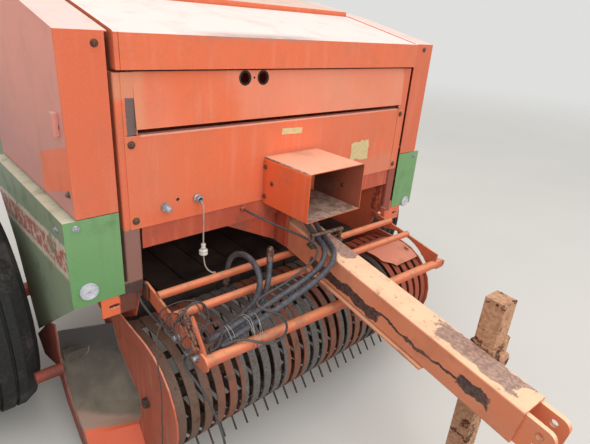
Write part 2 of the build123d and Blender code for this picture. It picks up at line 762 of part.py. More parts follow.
def build_wheels():
    add_pair("tyre", ring_x(tyre_outline(), wheel_x))
    rim = ring_x(rim_outline(), wheel_x)
    for index in range(rim_holes):
        angle = 2 * math.pi * index / rim_holes
        rim -= rod_x(axle_y + rim_hole_ring * math.cos(angle), axle_z + rim_hole_ring * math.sin(angle),
                     rim_hole_r, wheel_x - 20, wheel_x + 60)
    for index in range(stud_count):
        angle = 2 * math.pi * index / stud_count
        rim += rod_x(axle_y + stud_ring * math.cos(angle), axle_z + stud_ring * math.sin(angle),
                     stud_r, wheel_x + 34, wheel_x + hub_offset + 10)
    add_pair("wheel_rim", rim)


def build_belts():
    loop_r = roller_r + belt_thick
    width = (chamber_width - belt_gap * (belt_count + 1)) / belt_count
    span = belt_rear_y - belt_front_y
    outer = Pos((belt_front_y + belt_rear_y) / 2, belt_axis_z) * SlotCenterToCenter(span, 2 * loop_r)
    inner = Pos((belt_front_y + belt_rear_y) / 2, belt_axis_z) * SlotCenterToCenter(span, 2 * (roller_r + 0.3))
    belts = []
    for index in range(belt_count):
        x0 = -inner_x + belt_gap + index * (width + belt_gap)
        belts.append(extrude(Plane.YZ.offset(x0) * (outer - inner), width))
    nodes["floor_belts"] = Compound(belts)
    rollers = []
    for y in (belt_front_y, belt_rear_y):
        drum = rod_x(y, belt_axis_z, roller_r, -inner_x + 2, inner_x - 2)
        drum -= rod_x(y, belt_axis_z, roller_r - 6, -inner_x + 8, inner_x - 8)
        rollers.append(drum + rod_x(y, belt_axis_z, roller_shaft_r, -inner_x, inner_x))
    nodes["belt_rollers"] = Compound(rollers)


def band_profile():
    """A stripper band: round the front of the reel, then straight back to the belts."""
    def ring(r):
        start, end = math.radians(270), math.radians(96)
        a = (band_y + r * math.cos(start), band_z + r * math.sin(start))
        b = (band_y - r, band_z)
        c = (band_y + r * math.cos(end), band_z + r * math.sin(end))
        return a, b, c
    a0, b0, c0 = ring(band_r)
    a1, b1, c1 = ring(band_r - band_thick)
    tail0 = (band_rear_y, c0[1] - 8)
    tail1 = (band_rear_y, c1[1] - 8)
    foot0 = (band_foot_y, a0[1])
    foot1 = (band_foot_y, a1[1])
    edge = [ThreePointArc(a0, b0, c0), Line(c0, tail0), Line(tail0, tail1), Line(tail1, c1),
            ThreePointArc(c1, b1, a1), Line(a1, foot1), Line(foot1, foot0), Line(foot0, a0)]
    return make_face(Wire(edge))


def build_bands():
    """Stripper bands side by side over the reel, on two cross rails."""
    face = band_profile()
    count = int((2 * pickup_half - band_width) // band_pitch) + 1
    start = -(count - 1) / 2 * band_pitch - band_width / 2
    bands = [extrude(Plane.YZ.offset(start + index * band_pitch) * face, band_width) for index in range(count)]
    top_z, low_z = band_z + band_r - band_thick, band_z - band_r
    rail_top = box(-pickup_half, pickup_half, band_rear_y - 40, band_rear_y, top_z - 8 - band_rail, top_z - 8)
    rail_low = box(-pickup_half, pickup_half, band_foot_y - 30, band_foot_y, low_z, low_z + band_rail / 2)
    nodes["pickup_bands"] = rail_top + rail_low + bands
    return count


def tine(x, angle):
    """A spring finger of square wire, swept back at its tip, in the plane of its bar's radius."""
    h = tine_wire / 2
    outline = [(bar_ring_r + bar_r - 4, -h), (tine_knee, -h), (tine_reach, tine_sweep - h),
               (tine_reach - 2, tine_sweep + h), (tine_knee - 2, h), (bar_ring_r + bar_r - 4, h)]
    finger = prism_x(outline, x - h, x + h)
    return Pos(0, reel_y, reel_z) * Rot(angle, 0, 0) * finger


def build_reel(band_total):
    half = pickup_half - 6
    reel = rod_x(reel_y, reel_z, reel_tube_r, -half, half)
    reel += rod_x(reel_y, reel_z, reel_shaft_r, -pickup_half - 20, pickup_half + 20)
    for index in range(spider_count):
        x = (index / (spider_count - 1) - 0.5) * 2 * (half - 50)
        reel += rod_x(reel_y, reel_z, bar_ring_r + 8, x - spider_thick / 2, x + spider_thick / 2)
    gaps = [(index - (band_total - 2) / 2) * band_pitch for index in range(band_total - 1)]
    for k in range(bar_count):
        angle = reel_phase + k * 360 / bar_count
        y = reel_y + bar_ring_r * math.cos(math.radians(angle))
        z = reel_z + bar_ring_r * math.sin(math.radians(angle))
        pieces = [rod_x(y, z, bar_r, -half, half)]
        for left, right in zip(gaps[0::2], gaps[1::2]):
            coil_x = (left + right - tine_coil_length) / 2
            pieces.append(rod_x(y, z, tine_coil_r, coil_x, coil_x + tine_coil_length))
            pieces += [tine(left, angle), tine(right, angle)]
        reel += pieces
    nodes["tine_reel"] = reel


def side_plate():
    """The pickup's side plate: a rim round the bands, a tail down to the trough and an arm to its pivot."""
    rim = []
    for degrees in range(96, 262, 15):
        angle = math.radians(degrees)
        rim.append((band_y + side_rim_r * math.cos(angle), band_z + side_rim_r * math.sin(angle)))
    outline = rim + [(-60, 62), (20, 70), (60, 190), (pickup_pivot_y + 26, pickup_pivot_z - 40),
                     (pickup_pivot_y + 40, pickup_pivot_z), (pickup_pivot_y + 20, pickup_pivot_z + 36),
                     (pickup_pivot_y - 30, pickup_pivot_z + 40)]
    outer = pickup_half + pickup_plate
    side = prism_x(outline, pickup_half, outer)
    side -= rod_x(pickup_pivot_y, pickup_pivot_z, pivot_r + bearing_clearance, pickup_half, outer)
    side -= rod_x(reel_y, reel_z, reel_shaft_r + bearing_clearance, pickup_half, outer)
    return side + box(outer, end_shield_x, *arm_box)


def end_shield():
    """A twisted trough sheet out to an upright outer plate, and the gauge wheel's hollow stub seated on that."""
    inner = [(row[0], row[1]) for row in trough_points]
    outer = [(row[2], row[3]) for row in trough_points]
    inner_plane = Plane.YZ.offset(pickup_half + pickup_plate + clearance)
    outer_plane = Plane.YZ.offset(end_shield_x)
    strips = []
    for a, b, c, d in zip(inner, inner[1:], outer, outer[1:]):
        ends = []
        for plane, (p, q) in ((inner_plane, (a, b)), (outer_plane, (c, d))):
            back = (p[0] + sheet, p[1]), (q[0] + sheet, q[1])
            ends.append(plane * make_face(Polyline(p, q, back[1], back[0], close=True)))
        strips.append(loft(ends, ruled=True))
    shield = strips[0] + strips[1:]
    shield -= box(pickup_half, end_shield_x, arm_box[0], arm_box[1] + clearance, arm_box[2], arm_box[3])
    shield += prism_x(outer_plate, end_shield_x, end_shield_x + 4)
    near_x = end_shield_x + 4 + clearance
    far_x = near_x + gauge_stub_length
    stub = rod_x(*gauge_stub, gauge_stub_r, near_x, far_x)
    stub -= rod_x(*gauge_stub, gauge_stub_r - gauge_stub_wall, far_x - 60, far_x)
    return shield + stub


def build_pickup():
    band_total = build_bands()
    add_pair("pickup_side", side_plate())
    add_pair("end_shield", end_shield())
    build_reel(band_total)


def build_windguard():
    """Three cross tubes on a strap at the right and a deeper, notched plate at the left."""
    first = (windguard_y, windguard_z)
    length = math.dist(first, strap_end)
    tilt = math.degrees(math.atan2(strap_end[1] - first[1], strap_end[0] - first[0]))
    bar = Pos(length / 2, 0) * SlotCenterToCenter(length, strap_width)
    guard = extrude(Plane.YZ.offset(-strap_x - strap_thick) * Pos(*first) * Rot(0, 0, tilt) * bar, strap_thick)
    plate = prism_x(wind_plate, strap_x, strap_x + strap_thick)
    lift = math.radians(pickup_lift)
    dy, dz = band_y - pickup_pivot_y, band_z - pickup_pivot_z
    lifted_y = pickup_pivot_y + dy * math.cos(lift) + dz * math.sin(lift)
    lifted_z = pickup_pivot_z - dy * math.sin(lift) + dz * math.cos(lift)
    plate -= rod_x(lifted_y, lifted_z, band_r + lift_clear, strap_x, strap_x + strap_thick)
    guard += plate
    guard -= rod_x(windguard_y, windguard_z, wind_pin_r + bearing_clearance, -inner_x, inner_x)
    for y, z_right, z_left, r, over in wind_tubes:
        rise = (z_left - z_right) / (2 * strap_x)
        x0, x1 = -strap_x - 4, strap_x + over
        guard += rod_between((x0, y, z_right), (x1, y, z_right + rise * (x1 - x0)), r)
    place = Pos(strap_x + over - 12, y - 8, z_left - 4) * Rot(90, 0, 0)
    ear = place * extrude(SlotOverall(74, 34), 8, both=True)
    ear -= Pos(strap_x + over + 8, y - 8, z_left - 4) * Rot(90, 0, 0) * Cylinder(7, 40)
    nodes["windguard"] = guard + ear


def build_tailgate():
    front_y = split_y + tailgate_gap
    outline = [(front_y, tailgate_top_z)] + list(tailgate_outline) + [(front_y, tailgate_bottom_z)]
    face = make_face(Polyline(*outline, close=True))
    side = prism_x(outline, inner_x, outer_x)
    rim = face - offset(face, -post_sheet) - Pos(front_y, tailgate_hinge_z) * Circle(hinge_ear_r + 50)
    side += extrude(Plane.YZ.offset(outer_x) * rim, tailgate_rim)
    side += rod_x(tailgate_hinge_y, tailgate_hinge_z, hinge_boss_r, inner_x, outer_x - clearance)
    side += box(inner_x, outer_x - clearance, front_y, *hinge_block, tailgate_hinge_z)
    side += rod_x(tailgate_hinge_y, tailgate_hinge_z, hinge_pin_r, inner_x, outer_x + 2 * hinge_lug)
    side += rod_x(*ram_eye, ram_eye_r, outer_x, ram_x - 35)
    add_pair("tailgate_side", side)
    hollow = offset(face, -shell_thick)
    middle_z = (tailgate_top_z + tailgate_bottom_z) / 2
    mouth = Pos(front_y + 40, middle_z) * Rectangle(100, tailgate_top_z - tailgate_bottom_z - 2 * shell_thick)
    shell = extrude(Plane.YZ.offset(-inner_x) * (face - (hollow + mouth)), chamber_width)
    width, depth = tailgate_rib
    rib = offset(face, depth, kind=Kind.INTERSECTION) - offset(face, -1)
    reach = 2 * tailgate_hinge_y
    span = tailgate_top_z - tailgate_bottom_z - 2 * rib_margin[1]
    rib &= Pos(front_y + rib_margin[0] + reach / 2, middle_z) * Rectangle(reach, span)
    for x in tailgate_ribs:
        shell += extrude(Plane.YZ.offset(x - width / 2) * rib, width)
    nodes["tailgate_shell"] = shell
    cover = make_face(Polyline(*guard_outline, close=True))
    guard = extrude(Plane.YZ.offset(outer_x) * cover, guard_x - outer_x)
    guard -= extrude(Plane.YZ.offset(outer_x) * offset(cover, -sheet), guard_x - sheet - outer_x)
    add_pair("tailgate_guard", guard)


def build_lamps():
    width, depth, height = lamp_size
    x, z = lamp_place
    back_y = max(tailgate_rear_y(z), tailgate_rear_y(z + height)) + lamp_stand
    body = box(x - width / 2, x + width / 2, back_y, back_y + depth, z, z + height)
    body = fillet(body.edges().filter_by(Axis.Y), 10)
    lens_y = back_y + depth
    body += box(x - width / 2 + 6, x + width / 2 - 6, lens_y, lens_y + lens_thick, z + 8, z + height - 8)
    for low in (z + 24, z + height - 44):
        body += box(x - 10, x + 10, tailgate_rear_y(low + 20) + clearance, back_y, low, low + 20)
    nodes["tail_lamps"] = Compound([body, mirrored(body)])


def build_rams():
    dy, dz = ram_eye[0] - ram_base[0], ram_eye[1] - ram_base[1]
    length = math.hypot(dy, dz)
    barrel_length = length - ram_show

    def along(t):
        return (ram_x, ram_base[0] + dy * t / length, ram_base[1] + dz * t / length)

    eye_x0, eye_x1 = ram_x - ram_eye_half, ram_x + ram_eye_half
    barrel = rod_between(along(20), along(barrel_length), ram_barrel_r)
    barrel += rod_between(along(barrel_length - 34), along(barrel_length - 4), ram_barrel_r + 4)
    barrel += rod_x(*ram_base, ram_eye_r, eye_x0, eye_x1)
    barrel -= rod_x(*ram_base, ram_pin_r + bearing_clearance, eye_x0, eye_x1)
    bore_start = barrel_length - ram_stroke - 100
    barrel -= rod_between(along(bore_start), along(barrel_length + 1), ram_rod_r + bearing_clearance)
    add_pair("ram_barrel", barrel)
    rod = rod_between(along(bore_start + 20), along(length - 12), ram_rod_r)
    rod += rod_x(*ram_eye, ram_eye_r - 2, eye_x0, eye_x1)
    rod += rod_x(*ram_eye, ram_pin_r, ram_x - 35 + clearance, eye_x1 + 8)
    add_pair("ram_rod", rod)


def hose_end(route):
    """A steel coupling on a hose's last point, in line with its last run."""
    last, before = Vector(*route[-1]), Vector(*route[-2])
    axis = (last - before).normalized()
    return rod_between(last, last + axis * hose_end_length, hose_end_r)


def build_cords():
    cords = (
        ("hose_a", hose_a, hose_d),
        ("hose_b", hose_b, hose_d),
        ("lamp_cable", lamp_cable, lamp_cable_d),
        ("trip_cable", trip_cable, trip_cable_d),
        ("loose_string", loose_string, string_d),
        ("twine_drop", twine_drop, twine_d),
    )
    for name, route, diameter in cords:
        tube, length, tightest = cord_tube(route, diameter)
        share = tube.volume / (math.pi * diameter ** 2 / 4 * length)
        print(name, "length", round(length), "tightest", round(tightest, 1), "volume share", round(share, 4))
        nodes[name] = tube
    nodes["hose_coupling_a"] = hose_end(hose_a)
    nodes["hose_coupling_b"] = hose_end(hose_b)
    x, y, low = twine_drop[6]
    bead = rod_z(x, y, bead_r, bead_z[0], bead_z[0] + bead_length)
    bead += rod_z(x, y, bead_r * 0.55, bead_z[0] + bead_length, bead_z[1] + 8)
    nodes["twine_bead"] = bead - rod_z(x, y, twine_d / 2 + 0.9, bead_z[0], bead_z[1] + 8)


build_frames()
build_panels()
build_hood()
build_top_cover()
build_pto()
build_side_guards()
build_drawbar()
build_stand()
build_axle()
build_wheels()
build_belts()
build_pickup()
build_windguard()
build_tailgate()
build_lamps()
build_rams()
build_cords()

whole = Compound(list(nodes.values())).bounding_box()
middle_y = (whole.min.Y + whole.max.Y) / 2
print("front panel stands at y =", round(-middle_y, 3), "low", round(whole.min.Z, 3))

os.makedirs("parts", exist_ok=True)
for name, solid in nodes.items():
    export_step(Pos(0, -middle_y, 0) * solid, f"parts/{name}.step")
    print(name, round(solid.volume / 1e3), "cm3")
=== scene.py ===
import math
import random

import bmesh
import bpy
from mathutils import Matrix, Vector


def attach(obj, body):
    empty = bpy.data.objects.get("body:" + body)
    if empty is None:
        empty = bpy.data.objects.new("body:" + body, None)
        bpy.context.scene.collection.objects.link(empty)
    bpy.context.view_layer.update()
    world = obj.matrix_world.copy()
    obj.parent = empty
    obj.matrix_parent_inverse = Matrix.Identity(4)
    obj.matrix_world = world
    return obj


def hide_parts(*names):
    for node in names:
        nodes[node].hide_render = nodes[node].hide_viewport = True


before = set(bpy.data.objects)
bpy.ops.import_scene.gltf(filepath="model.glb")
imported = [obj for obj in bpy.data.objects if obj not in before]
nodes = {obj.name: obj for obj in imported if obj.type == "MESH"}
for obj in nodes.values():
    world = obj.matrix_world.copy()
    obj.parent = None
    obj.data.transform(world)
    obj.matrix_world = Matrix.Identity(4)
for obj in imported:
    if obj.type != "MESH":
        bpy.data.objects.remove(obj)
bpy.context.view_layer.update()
scene = bpy.context.scene
scene.view_settings.view_transform = "Standard"
panelY = -0.191448     # the front panel's plane in this frame


def at(x, y, z):       # a point with y measured back from the front panel, in metres
    return Vector((x, y + panelY, z))


def tone(red, green, blue):     # a colour as a screen shows it, turned into light
    shown = [c / 255 for c in (red, green, blue)]
    return tuple(c / 12.92 if c < 0.04 else ((c + 0.055) / 1.055) ** 2.4 for c in shown) + (1.0,)


def addObject(name, data):
    made = bpy.data.objects.new(name, data)
    scene.collection.objects.link(made)
    return made


# camera
cameraLook = dict(
    place=(-1.168, -1.2465, 1.5),
    right=(0.7406, -0.6680, 0.0719),
    up=(0.2165, 0.3386, 0.9157),
    lens=28.51,
)


def makeCamera(look):
    data = bpy.data.cameras.new("camera")
    data.lens = look["lens"]
    data.sensor_width = 36
    data.clip_end = 200
    camera = addObject("camera", data)
    right = Vector(look["right"]).normalized()
    back = right.cross(Vector(look["up"])).normalized()
    up = back.cross(right)
    turn = Matrix((right, up, back)).transposed().to_4x4()
    camera.matrix_world = Matrix.Translation(at(*look["place"])) @ turn
    scene.camera = camera


makeCamera(cameraLook)
print("camera done")


# finishes
class Sock:            # a socket that can stand in a sum
    def __init__(self, finish, socket):
        self.finish = finish
        self.socket = socket

    def maths(self, operation, first, second):
        return self.finish.node("Math", {"operation": operation}, {0: first, 1: second})

    def __add__(self, other):
        return self.maths("ADD", self, other)

    def __sub__(self, other):
        return self.maths("SUBTRACT", self, other)

    def __rsub__(self, other):
        return self.maths("SUBTRACT", other, self)

    def __mul__(self, other):
        return self.maths("MULTIPLY", self, other)

    def __truediv__(self, other):
        return self.maths("DIVIDE", self, other)

    __radd__ = __add__
    __rmul__ = __mul__


class Graph:           # a node tree, of a material or of the world
    def __init__(self, tree):
        self.tree = tree

    def node(self, kind, settings=None, values=None, out=0):
        made = self.tree.nodes.new("ShaderNode" + kind)
        for name, setting in (settings or {}).items():
            if name == "stops":
                ramp = made.color_ramp
                while len(ramp.elements) < len(setting):
                    ramp.elements.new(1.0)
                for element, (position, colour) in zip(ramp.elements, setting):
                    element.position = position
                    element.color = colour
            else:
                setattr(made, name, setting)
        for key, value in (values or {}).items():
            if isinstance(value, Sock):
                self.tree.links.new(value.socket, made.inputs[key])
            else:
                made.inputs[key].default_value = value
        return Sock(self, made.outputs[out])

    def most(self, first, second):
        return self.node("Math", {"operation": "MAXIMUM"}, {0: first, 1: second})

    def split(self, vector):
        outputs = self.node("SeparateXYZ", values={0: vector}).socket.node.outputs
        return [Sock(self, outputs[k]) for k in range(3)]


class Finish(Graph):
    def __init__(self, name, rough=0.6, metal=0.0, **fixed):
        self.material = bpy.data.materials.new(name)
        self.material.use_nodes = True
        super().__init__(self.material.node_tree)
        self.shader = self.tree.nodes["Principled BSDF"]
        self.shader.inputs["Roughness"].default_value = rough
        self.shader.inputs["Metallic"].default_value = metal
        for socket, value in fixed.items():
            self.shader.inputs[socket.replace("_", " ")].default_value = value
        self.place = self.node("TexCoord", out="Object")
        self.x, self.y, self.z = self.split(self.place)
        self.seed = 0.0

    def upward(self):              # how far the surface faces up; it turns with its body
        return self.split(self.node("TexCoord", out="Normal"))[2]

    def rise(self, value, low, high):          # 0 at low, 1 at high, smooth between
        settings = {"interpolation_type": "SMOOTHSTEP"}
        return self.node("MapRange", settings, {"Value": value, "From Min": low, "From Max": high})

    def noise(self, size, detail=3.0, rough=0.55, stretch=(1, 1, 1)):          # size in metres
        self.seed += 1.7
        scale = tuple(1 / (size * s) for s in stretch)
        shift = (self.seed, self.seed * 0.6, -self.seed)
        where = self.node("Mapping", values={"Vector": self.place, "Location": shift, "Scale": scale})
        values = {"Vector": where, "Scale": 1.0, "Detail": detail, "Roughness": rough}
        return self.node("TexNoise", values=values)

    def mix(self, share, first, second):
        return self.node("Mix", {"data_type": "RGBA"}, {0: share, 6: first, 7: second}, 2)

    def along(self, origin, axis):             # distance from a point along a direction
        away = self.node("VectorMath", {"operation": "SUBTRACT"}, {0: self.place, 1: tuple(origin)})
        return self.node("VectorMath", {"operation": "DOT_PRODUCT"}, {0: away, 1: tuple(axis)}, "Value")

    def between(self, value, low, high, soft):
        return self.rise(value, low - soft, low + soft) * self.rise(value, high + soft, high - soft)

    def edges(self, width):                    # 1 on the corners of sheets and bars
        rounded = self.node("Bevel", {"samples": 4}, {"Radius": width})
        flat = self.node("NewGeometry", out="Normal")
        agree = self.node("VectorMath", {"operation": "DOT_PRODUCT"}, {0: rounded, 1: flat}, "Value")
        return self.rise(agree, 0.985, 0.80)

    def corners(self, distance):               # 1 deep in corners and recesses: the mask for painted shade
        open_ = self.node("AmbientOcclusion", {"samples": 5}, {"Distance": distance}, "AO")
        return self.rise(open_, 0.75, 0.25)

    def bump(self, height, distance):
        return self.node("Bump", values={"Height": height, "Distance": distance, "Strength": 1.0})

    def close(self, colour, rough=None, metal=None, normal=None):
        links = {"Base Color": colour, "Roughness": rough, "Metallic": metal, "Normal": normal}
        for socket, value in links.items():
            if isinstance(value, Sock):
                self.tree.links.new(value.socket, self.shader.inputs[socket])
            elif value is not None:
                self.shader.inputs[socket].default_value = value
        return self


rustDark = tone(74, 48, 38)
rustMid = tone(122, 74, 48)
rustPale = tone(160, 112, 82)
paintBase = dict(
    paint=tone(240, 117, 74), second=tone(234, 122, 84),
    # the paler tone on up-facing faces, and the span of facing up over which it comes in: sun-bleached paint
    # together with a painted sheen of the bright sky
    bleachAndSheenTone=tone(250, 214, 196), bleachAndSheen=(0.35, 0.85),
    streak=tone(240, 150, 122), streaks=0.3, streakStretch=(3, 3, 26),
    dirtTone=tone(150, 112, 92), dirt=0.14, dirtSize=0.12,
    # the tone and share of painted shade in corners and recesses
    cornerShadeTone=tone(120, 66, 46), cornerShade=0.6,
    rust=0.0, edge=0.5, rough=0.5, dents=0.0012,
)


def spotShare(paint, spot):                    # a patch given by its extent, with a ragged border
    share = 1.0
    for axis, offset in (("x", 0.0), ("y", panelY), ("z", 0.0)):
        if axis not in spot:
            continue
        low, high = spot[axis]
        value = {"x": paint.x, "y": paint.y, "z": paint.z}[axis]
        ragged = spot.get("ragged", 0.0)
        if ragged:
            value = value + (paint.noise(spot.get("size", 0.03), 5, 0.65) - 0.5) * ragged
        share = share * paint.between(value, low + offset, high + offset, spot.get("soft", 0.003))
    return share * spot.get("share", 1.0)


def paintedSteel(name, spots=(), shape=None, **changes):
    look = {**paintBase, **changes}
    paint = Finish(name, IOR=1.45)
    up = paint.upward()
    broad = paint.noise(0.45, 2)
    fine = paint.noise(0.006, 4)
    colour = paint.mix(paint.rise(broad, 0.35, 0.65), look["paint"], look["second"])
    streak = paint.noise(0.010, 4, stretch=look["streakStretch"])
    colour = paint.mix(paint.rise(streak, 0.5, 0.75) * look["streaks"], colour, look["streak"])
    # up-facing faces turn paler: sun-bleached paint, and painted sheen of the bright sky
    bleachAndSheen = paint.rise(up + (broad - 0.5) * 0.3, *look["bleachAndSheen"])
    colour = paint.mix(bleachAndSheen, colour, look["bleachAndSheenTone"])
    if shape:
        colour = shape(paint, colour, broad)
    dirtNoise = paint.noise(look["dirtSize"], 6, 0.62)
    dirt = paint.rise(dirtNoise, 0.48, 0.72) * look["dirt"]
    colour = paint.mix(dirt, colour, look["dirtTone"])
    # painted shade: corners and recesses darkened towards a darker copy of the paint
    shade = paint.corners(0.05) * look["cornerShade"]
    colour = paint.mix(shade, colour, look["cornerShadeTone"])
    for spot in spots:
        share = spotShare(paint, spot)
        colour = paint.mix(share, colour, spot["tone"])
    chips = paint.noise(0.016, 6, 0.7)
    worn = paint.rise(paint.noise(0.05, 4), 0.62 - look["edge"] * 0.3, 0.7)
    wear = paint.edges(0.0035) * worn * look["edge"]
    decay = chips + wear * 0.5 + (dirtNoise - 0.5) * 0.25 + look["rust"]
    rust = paint.rise(decay, 0.83, 0.88)
    halo = paint.rise(decay, 0.73, 0.86)
    colour = paint.mix(halo * 0.45, colour, rustPale)
    rustTone = paint.mix(paint.rise(fine, 0.4, 0.65), rustDark, rustMid)
    colour = paint.mix(rust, colour, rustTone)
    colour = paint.mix(paint.rise(fine, 0.3, 0.9) * 0.05, colour, tone(255, 235, 220))
    rough = 0.06 * fine + rust * 0.3 + dirt * 0.3 + look["rough"]
    height = broad * look["dents"] * 12 + fine * 0.0001 - rust * 0.0004
    return paint.close(colour, rough, normal=paint.bump(height, 1.0))


def hoodShape(paint, colour, broad):
    front = paint.rise(paint.y, panelY + 0.05, panelY - 0.01)
    high = paint.rise(paint.z + (paint.noise(0.05, 5) - 0.5) * 0.03, 1.425, 1.45)
    middle = paint.between(paint.x + (paint.noise(0.1, 4) - 0.5) * 0.2, -0.38, 0.05, 0.1)
    return paint.mix(front * high * middle * 0.75, colour, tone(168, 142, 130))


drawAxis = Vector((-0.0889, -0.9883, -0.1241))
drawRise = Vector((-0.0111, -0.1236, 0.9923))
drawSide = Vector((0.9960, -0.0896, 0.0))


def drawbarShape(paint, colour, broad):
    origin = at(0, 0, 0.8045)
    along = paint.along(origin, drawAxis)
    height = paint.along(origin, drawRise)
    across = paint.along(origin, drawSide)
    ragged = paint.noise(0.05, 6, 0.65) - 0.5
    fine = paint.noise(0.01, 5)
    up = paint.rise(height, -0.006, -0.001)
    bare = paint.mix(paint.rise(fine, 0.35, 0.65), tone(150, 120, 108), tone(190, 154, 136))
    near = paint.between(along + ragged * 0.12, 0.19, 0.35, 0.006)
    near = near * paint.between(across + ragged * 0.04, -0.012, 0.06, 0.003)
    tip = paint.between(along + ragged * 0.22, 0.74, 1.01, 0.004)
    tip = tip * paint.between(across + ragged * 0.05, -0.028, 0.046, 0.003)
    specks = paint.rise(paint.noise(0.022, 6, 0.75), 0.60, 0.62) * 0.8
    colour = paint.mix(near * up, colour, bare)
    colour = paint.mix(tip * up, colour, bare)
    colour = paint.mix(specks * up, colour, tone(176, 132, 112))
    # the torn edge of the paint along the right side, bare steel under it
    side = paint.rise(across, -0.049, -0.0505)
    wave = height + (paint.noise(0.09, 5, 0.6) - 0.5) * 0.07
    torn = paint.between(wave, -0.070, -0.060, 0.0012) * paint.between(along, 0.40, 0.90, 0.02)
    tear = paint.between(wave + ragged * 0.012, -0.100, -0.062, 0.0015)
    tear = tear * paint.between(along + ragged * 0.1, 0.22, 0.56, 0.008)
    torn = paint.most(torn, tear)
    patch = paint.between(wave + ragged * 0.03, -0.082, -0.036, 0.0015)
    patch = patch * paint.between(along + ragged * 0.06, 0.872, 0.965, 0.004)
    dark = paint.mix(paint.rise(fine, 0.4, 0.6), tone(62, 44, 44), tone(98, 72, 66))
    both = paint.most(torn, patch)
    colour = paint.mix(side * paint.rise(wave, -0.060, -0.062) * 0.35, colour, tone(226, 150, 116))
    return paint.mix(both * side, colour, dark)


def guardShape(paint, colour, broad):          # dusty floor and walls, with painted shade that deepens towards the shaft
    ragged = paint.noise(0.03, 6, 0.65)
    inside = paint.between(paint.x, -0.1455, 0.1195, 0.0004)
    inside = inside * paint.between(paint.z, 0.8795, 1.0495, 0.0004)
    # painted shade: the walls go maroon and the dusty floor darker the deeper they lie in the guard
    deep = paint.rise(paint.y + (ragged - 0.5) * 0.08, panelY - 0.21, panelY - 0.02)
    lying = paint.rise(paint.upward(), 0.5, 0.7)
    shadedWall = paint.mix(deep, tone(176, 92, 66), tone(58, 34, 28))
    dust = paint.mix(paint.rise(ragged, 0.40, 0.62), tone(206, 178, 160), tone(150, 116, 98))
    dust = paint.mix(deep * 0.6, dust, tone(96, 70, 60))
    return paint.mix(inside, colour, paint.mix(lying, shadedWall, dust))


def overSide(paint, colour, side):             # a look of its own on upright sheets behind the front
    back = paint.rise(paint.y, panelY + 0.001, panelY + 0.006)
    return paint.mix(back * paint.rise(paint.upward(), 0.5, 0.2), colour, side)


def doorShape(paint, colour, broad):           # outer sides fade to mauve, fronts keep their orange
    low = paint.rise(paint.z + (broad - 0.5) * 0.2, 1.45, 0.95)
    faded = paint.mix(low, tone(252, 168, 148), tone(208, 142, 134))
    slope = paint.z + (paint.y - panelY) * 0.285
    square = paint.between(slope, 1.038, 1.160, 0.002) * paint.rise(paint.x, -0.79, -0.795)
    square = square * paint.between(paint.y, panelY - 0.04, panelY + 0.26, 0.002)
    return overSide(paint, colour, paint.mix(square, faded, tone(255, 128, 86)))


def greenShape(paint, colour, broad):          # worn plain stripes along the outer side
    slope = paint.z + (paint.y - panelY) * 0.06
    ragged = (paint.noise(0.02, 6, 0.7) - 0.5) * 0.03
    pale = paint.between(slope + ragged, 0.775, 0.885, 0.004)
    red = paint.between(slope + ragged, 0.795, 0.865, 0.004)
    red = red * paint.rise(paint.noise(0.03, 6, 0.7), 0.42, 0.5)
    stripe = paint.mix(red, tone(212, 196, 178), tone(178, 104, 92))
    keep = paint.rise(paint.noise(0.05, 5, 0.6), 0.36, 0.44)
    return overSide(paint, colour, paint.mix(pale * keep, tone(138, 150, 124), stripe))


def plainSteel(name, dark, pale, rough=0.5, metal=0.6, size=0.02, rust=0.3):
    steel = Finish(name)
    broad = steel.noise(size * 6, 3)
    fine = steel.noise(size * 0.4, 5)
    colour = steel.mix(steel.rise(fine, 0.35, 0.65), dark, pale)
    spread = steel.noise(size, 6, 0.68) + (broad - 0.5) * 0.4 + rust * 0.4
    share = steel.rise(spread, 0.72, 0.78)
    colour = steel.mix(share, colour, steel.mix(steel.rise(fine, 0.4, 0.6), rustDark, rustMid))
    # painted shade: corners and recesses darkened to near black
    colour = steel.mix(steel.corners(0.03) * 0.5, colour, tone(40, 30, 26))
    height = fine * 0.0003 + share * 0.0003
    rough = share * 0.3 + fine * 0.1 + rough
    return steel.close(colour, rough, metal - share * metal, steel.bump(height, 1.0))


def rubber(name, dark, pale, rough=0.7, size=0.01, dust=0.3):
    skin = Finish(name)
    fine = skin.noise(size, 5)
    broad = skin.noise(size * 12, 4)
    colour = skin.mix(skin.rise(fine, 0.3, 0.7), dark, pale)
    grey = skin.rise(broad + (fine - 0.5) * 0.3, 0.5, 0.7) * dust
    colour = skin.mix(grey, colour, tone(112, 104, 98))
    return skin.close(colour, fine * 0.15 + grey * 0.2 + rough, normal=skin.bump(fine, 0.0004))


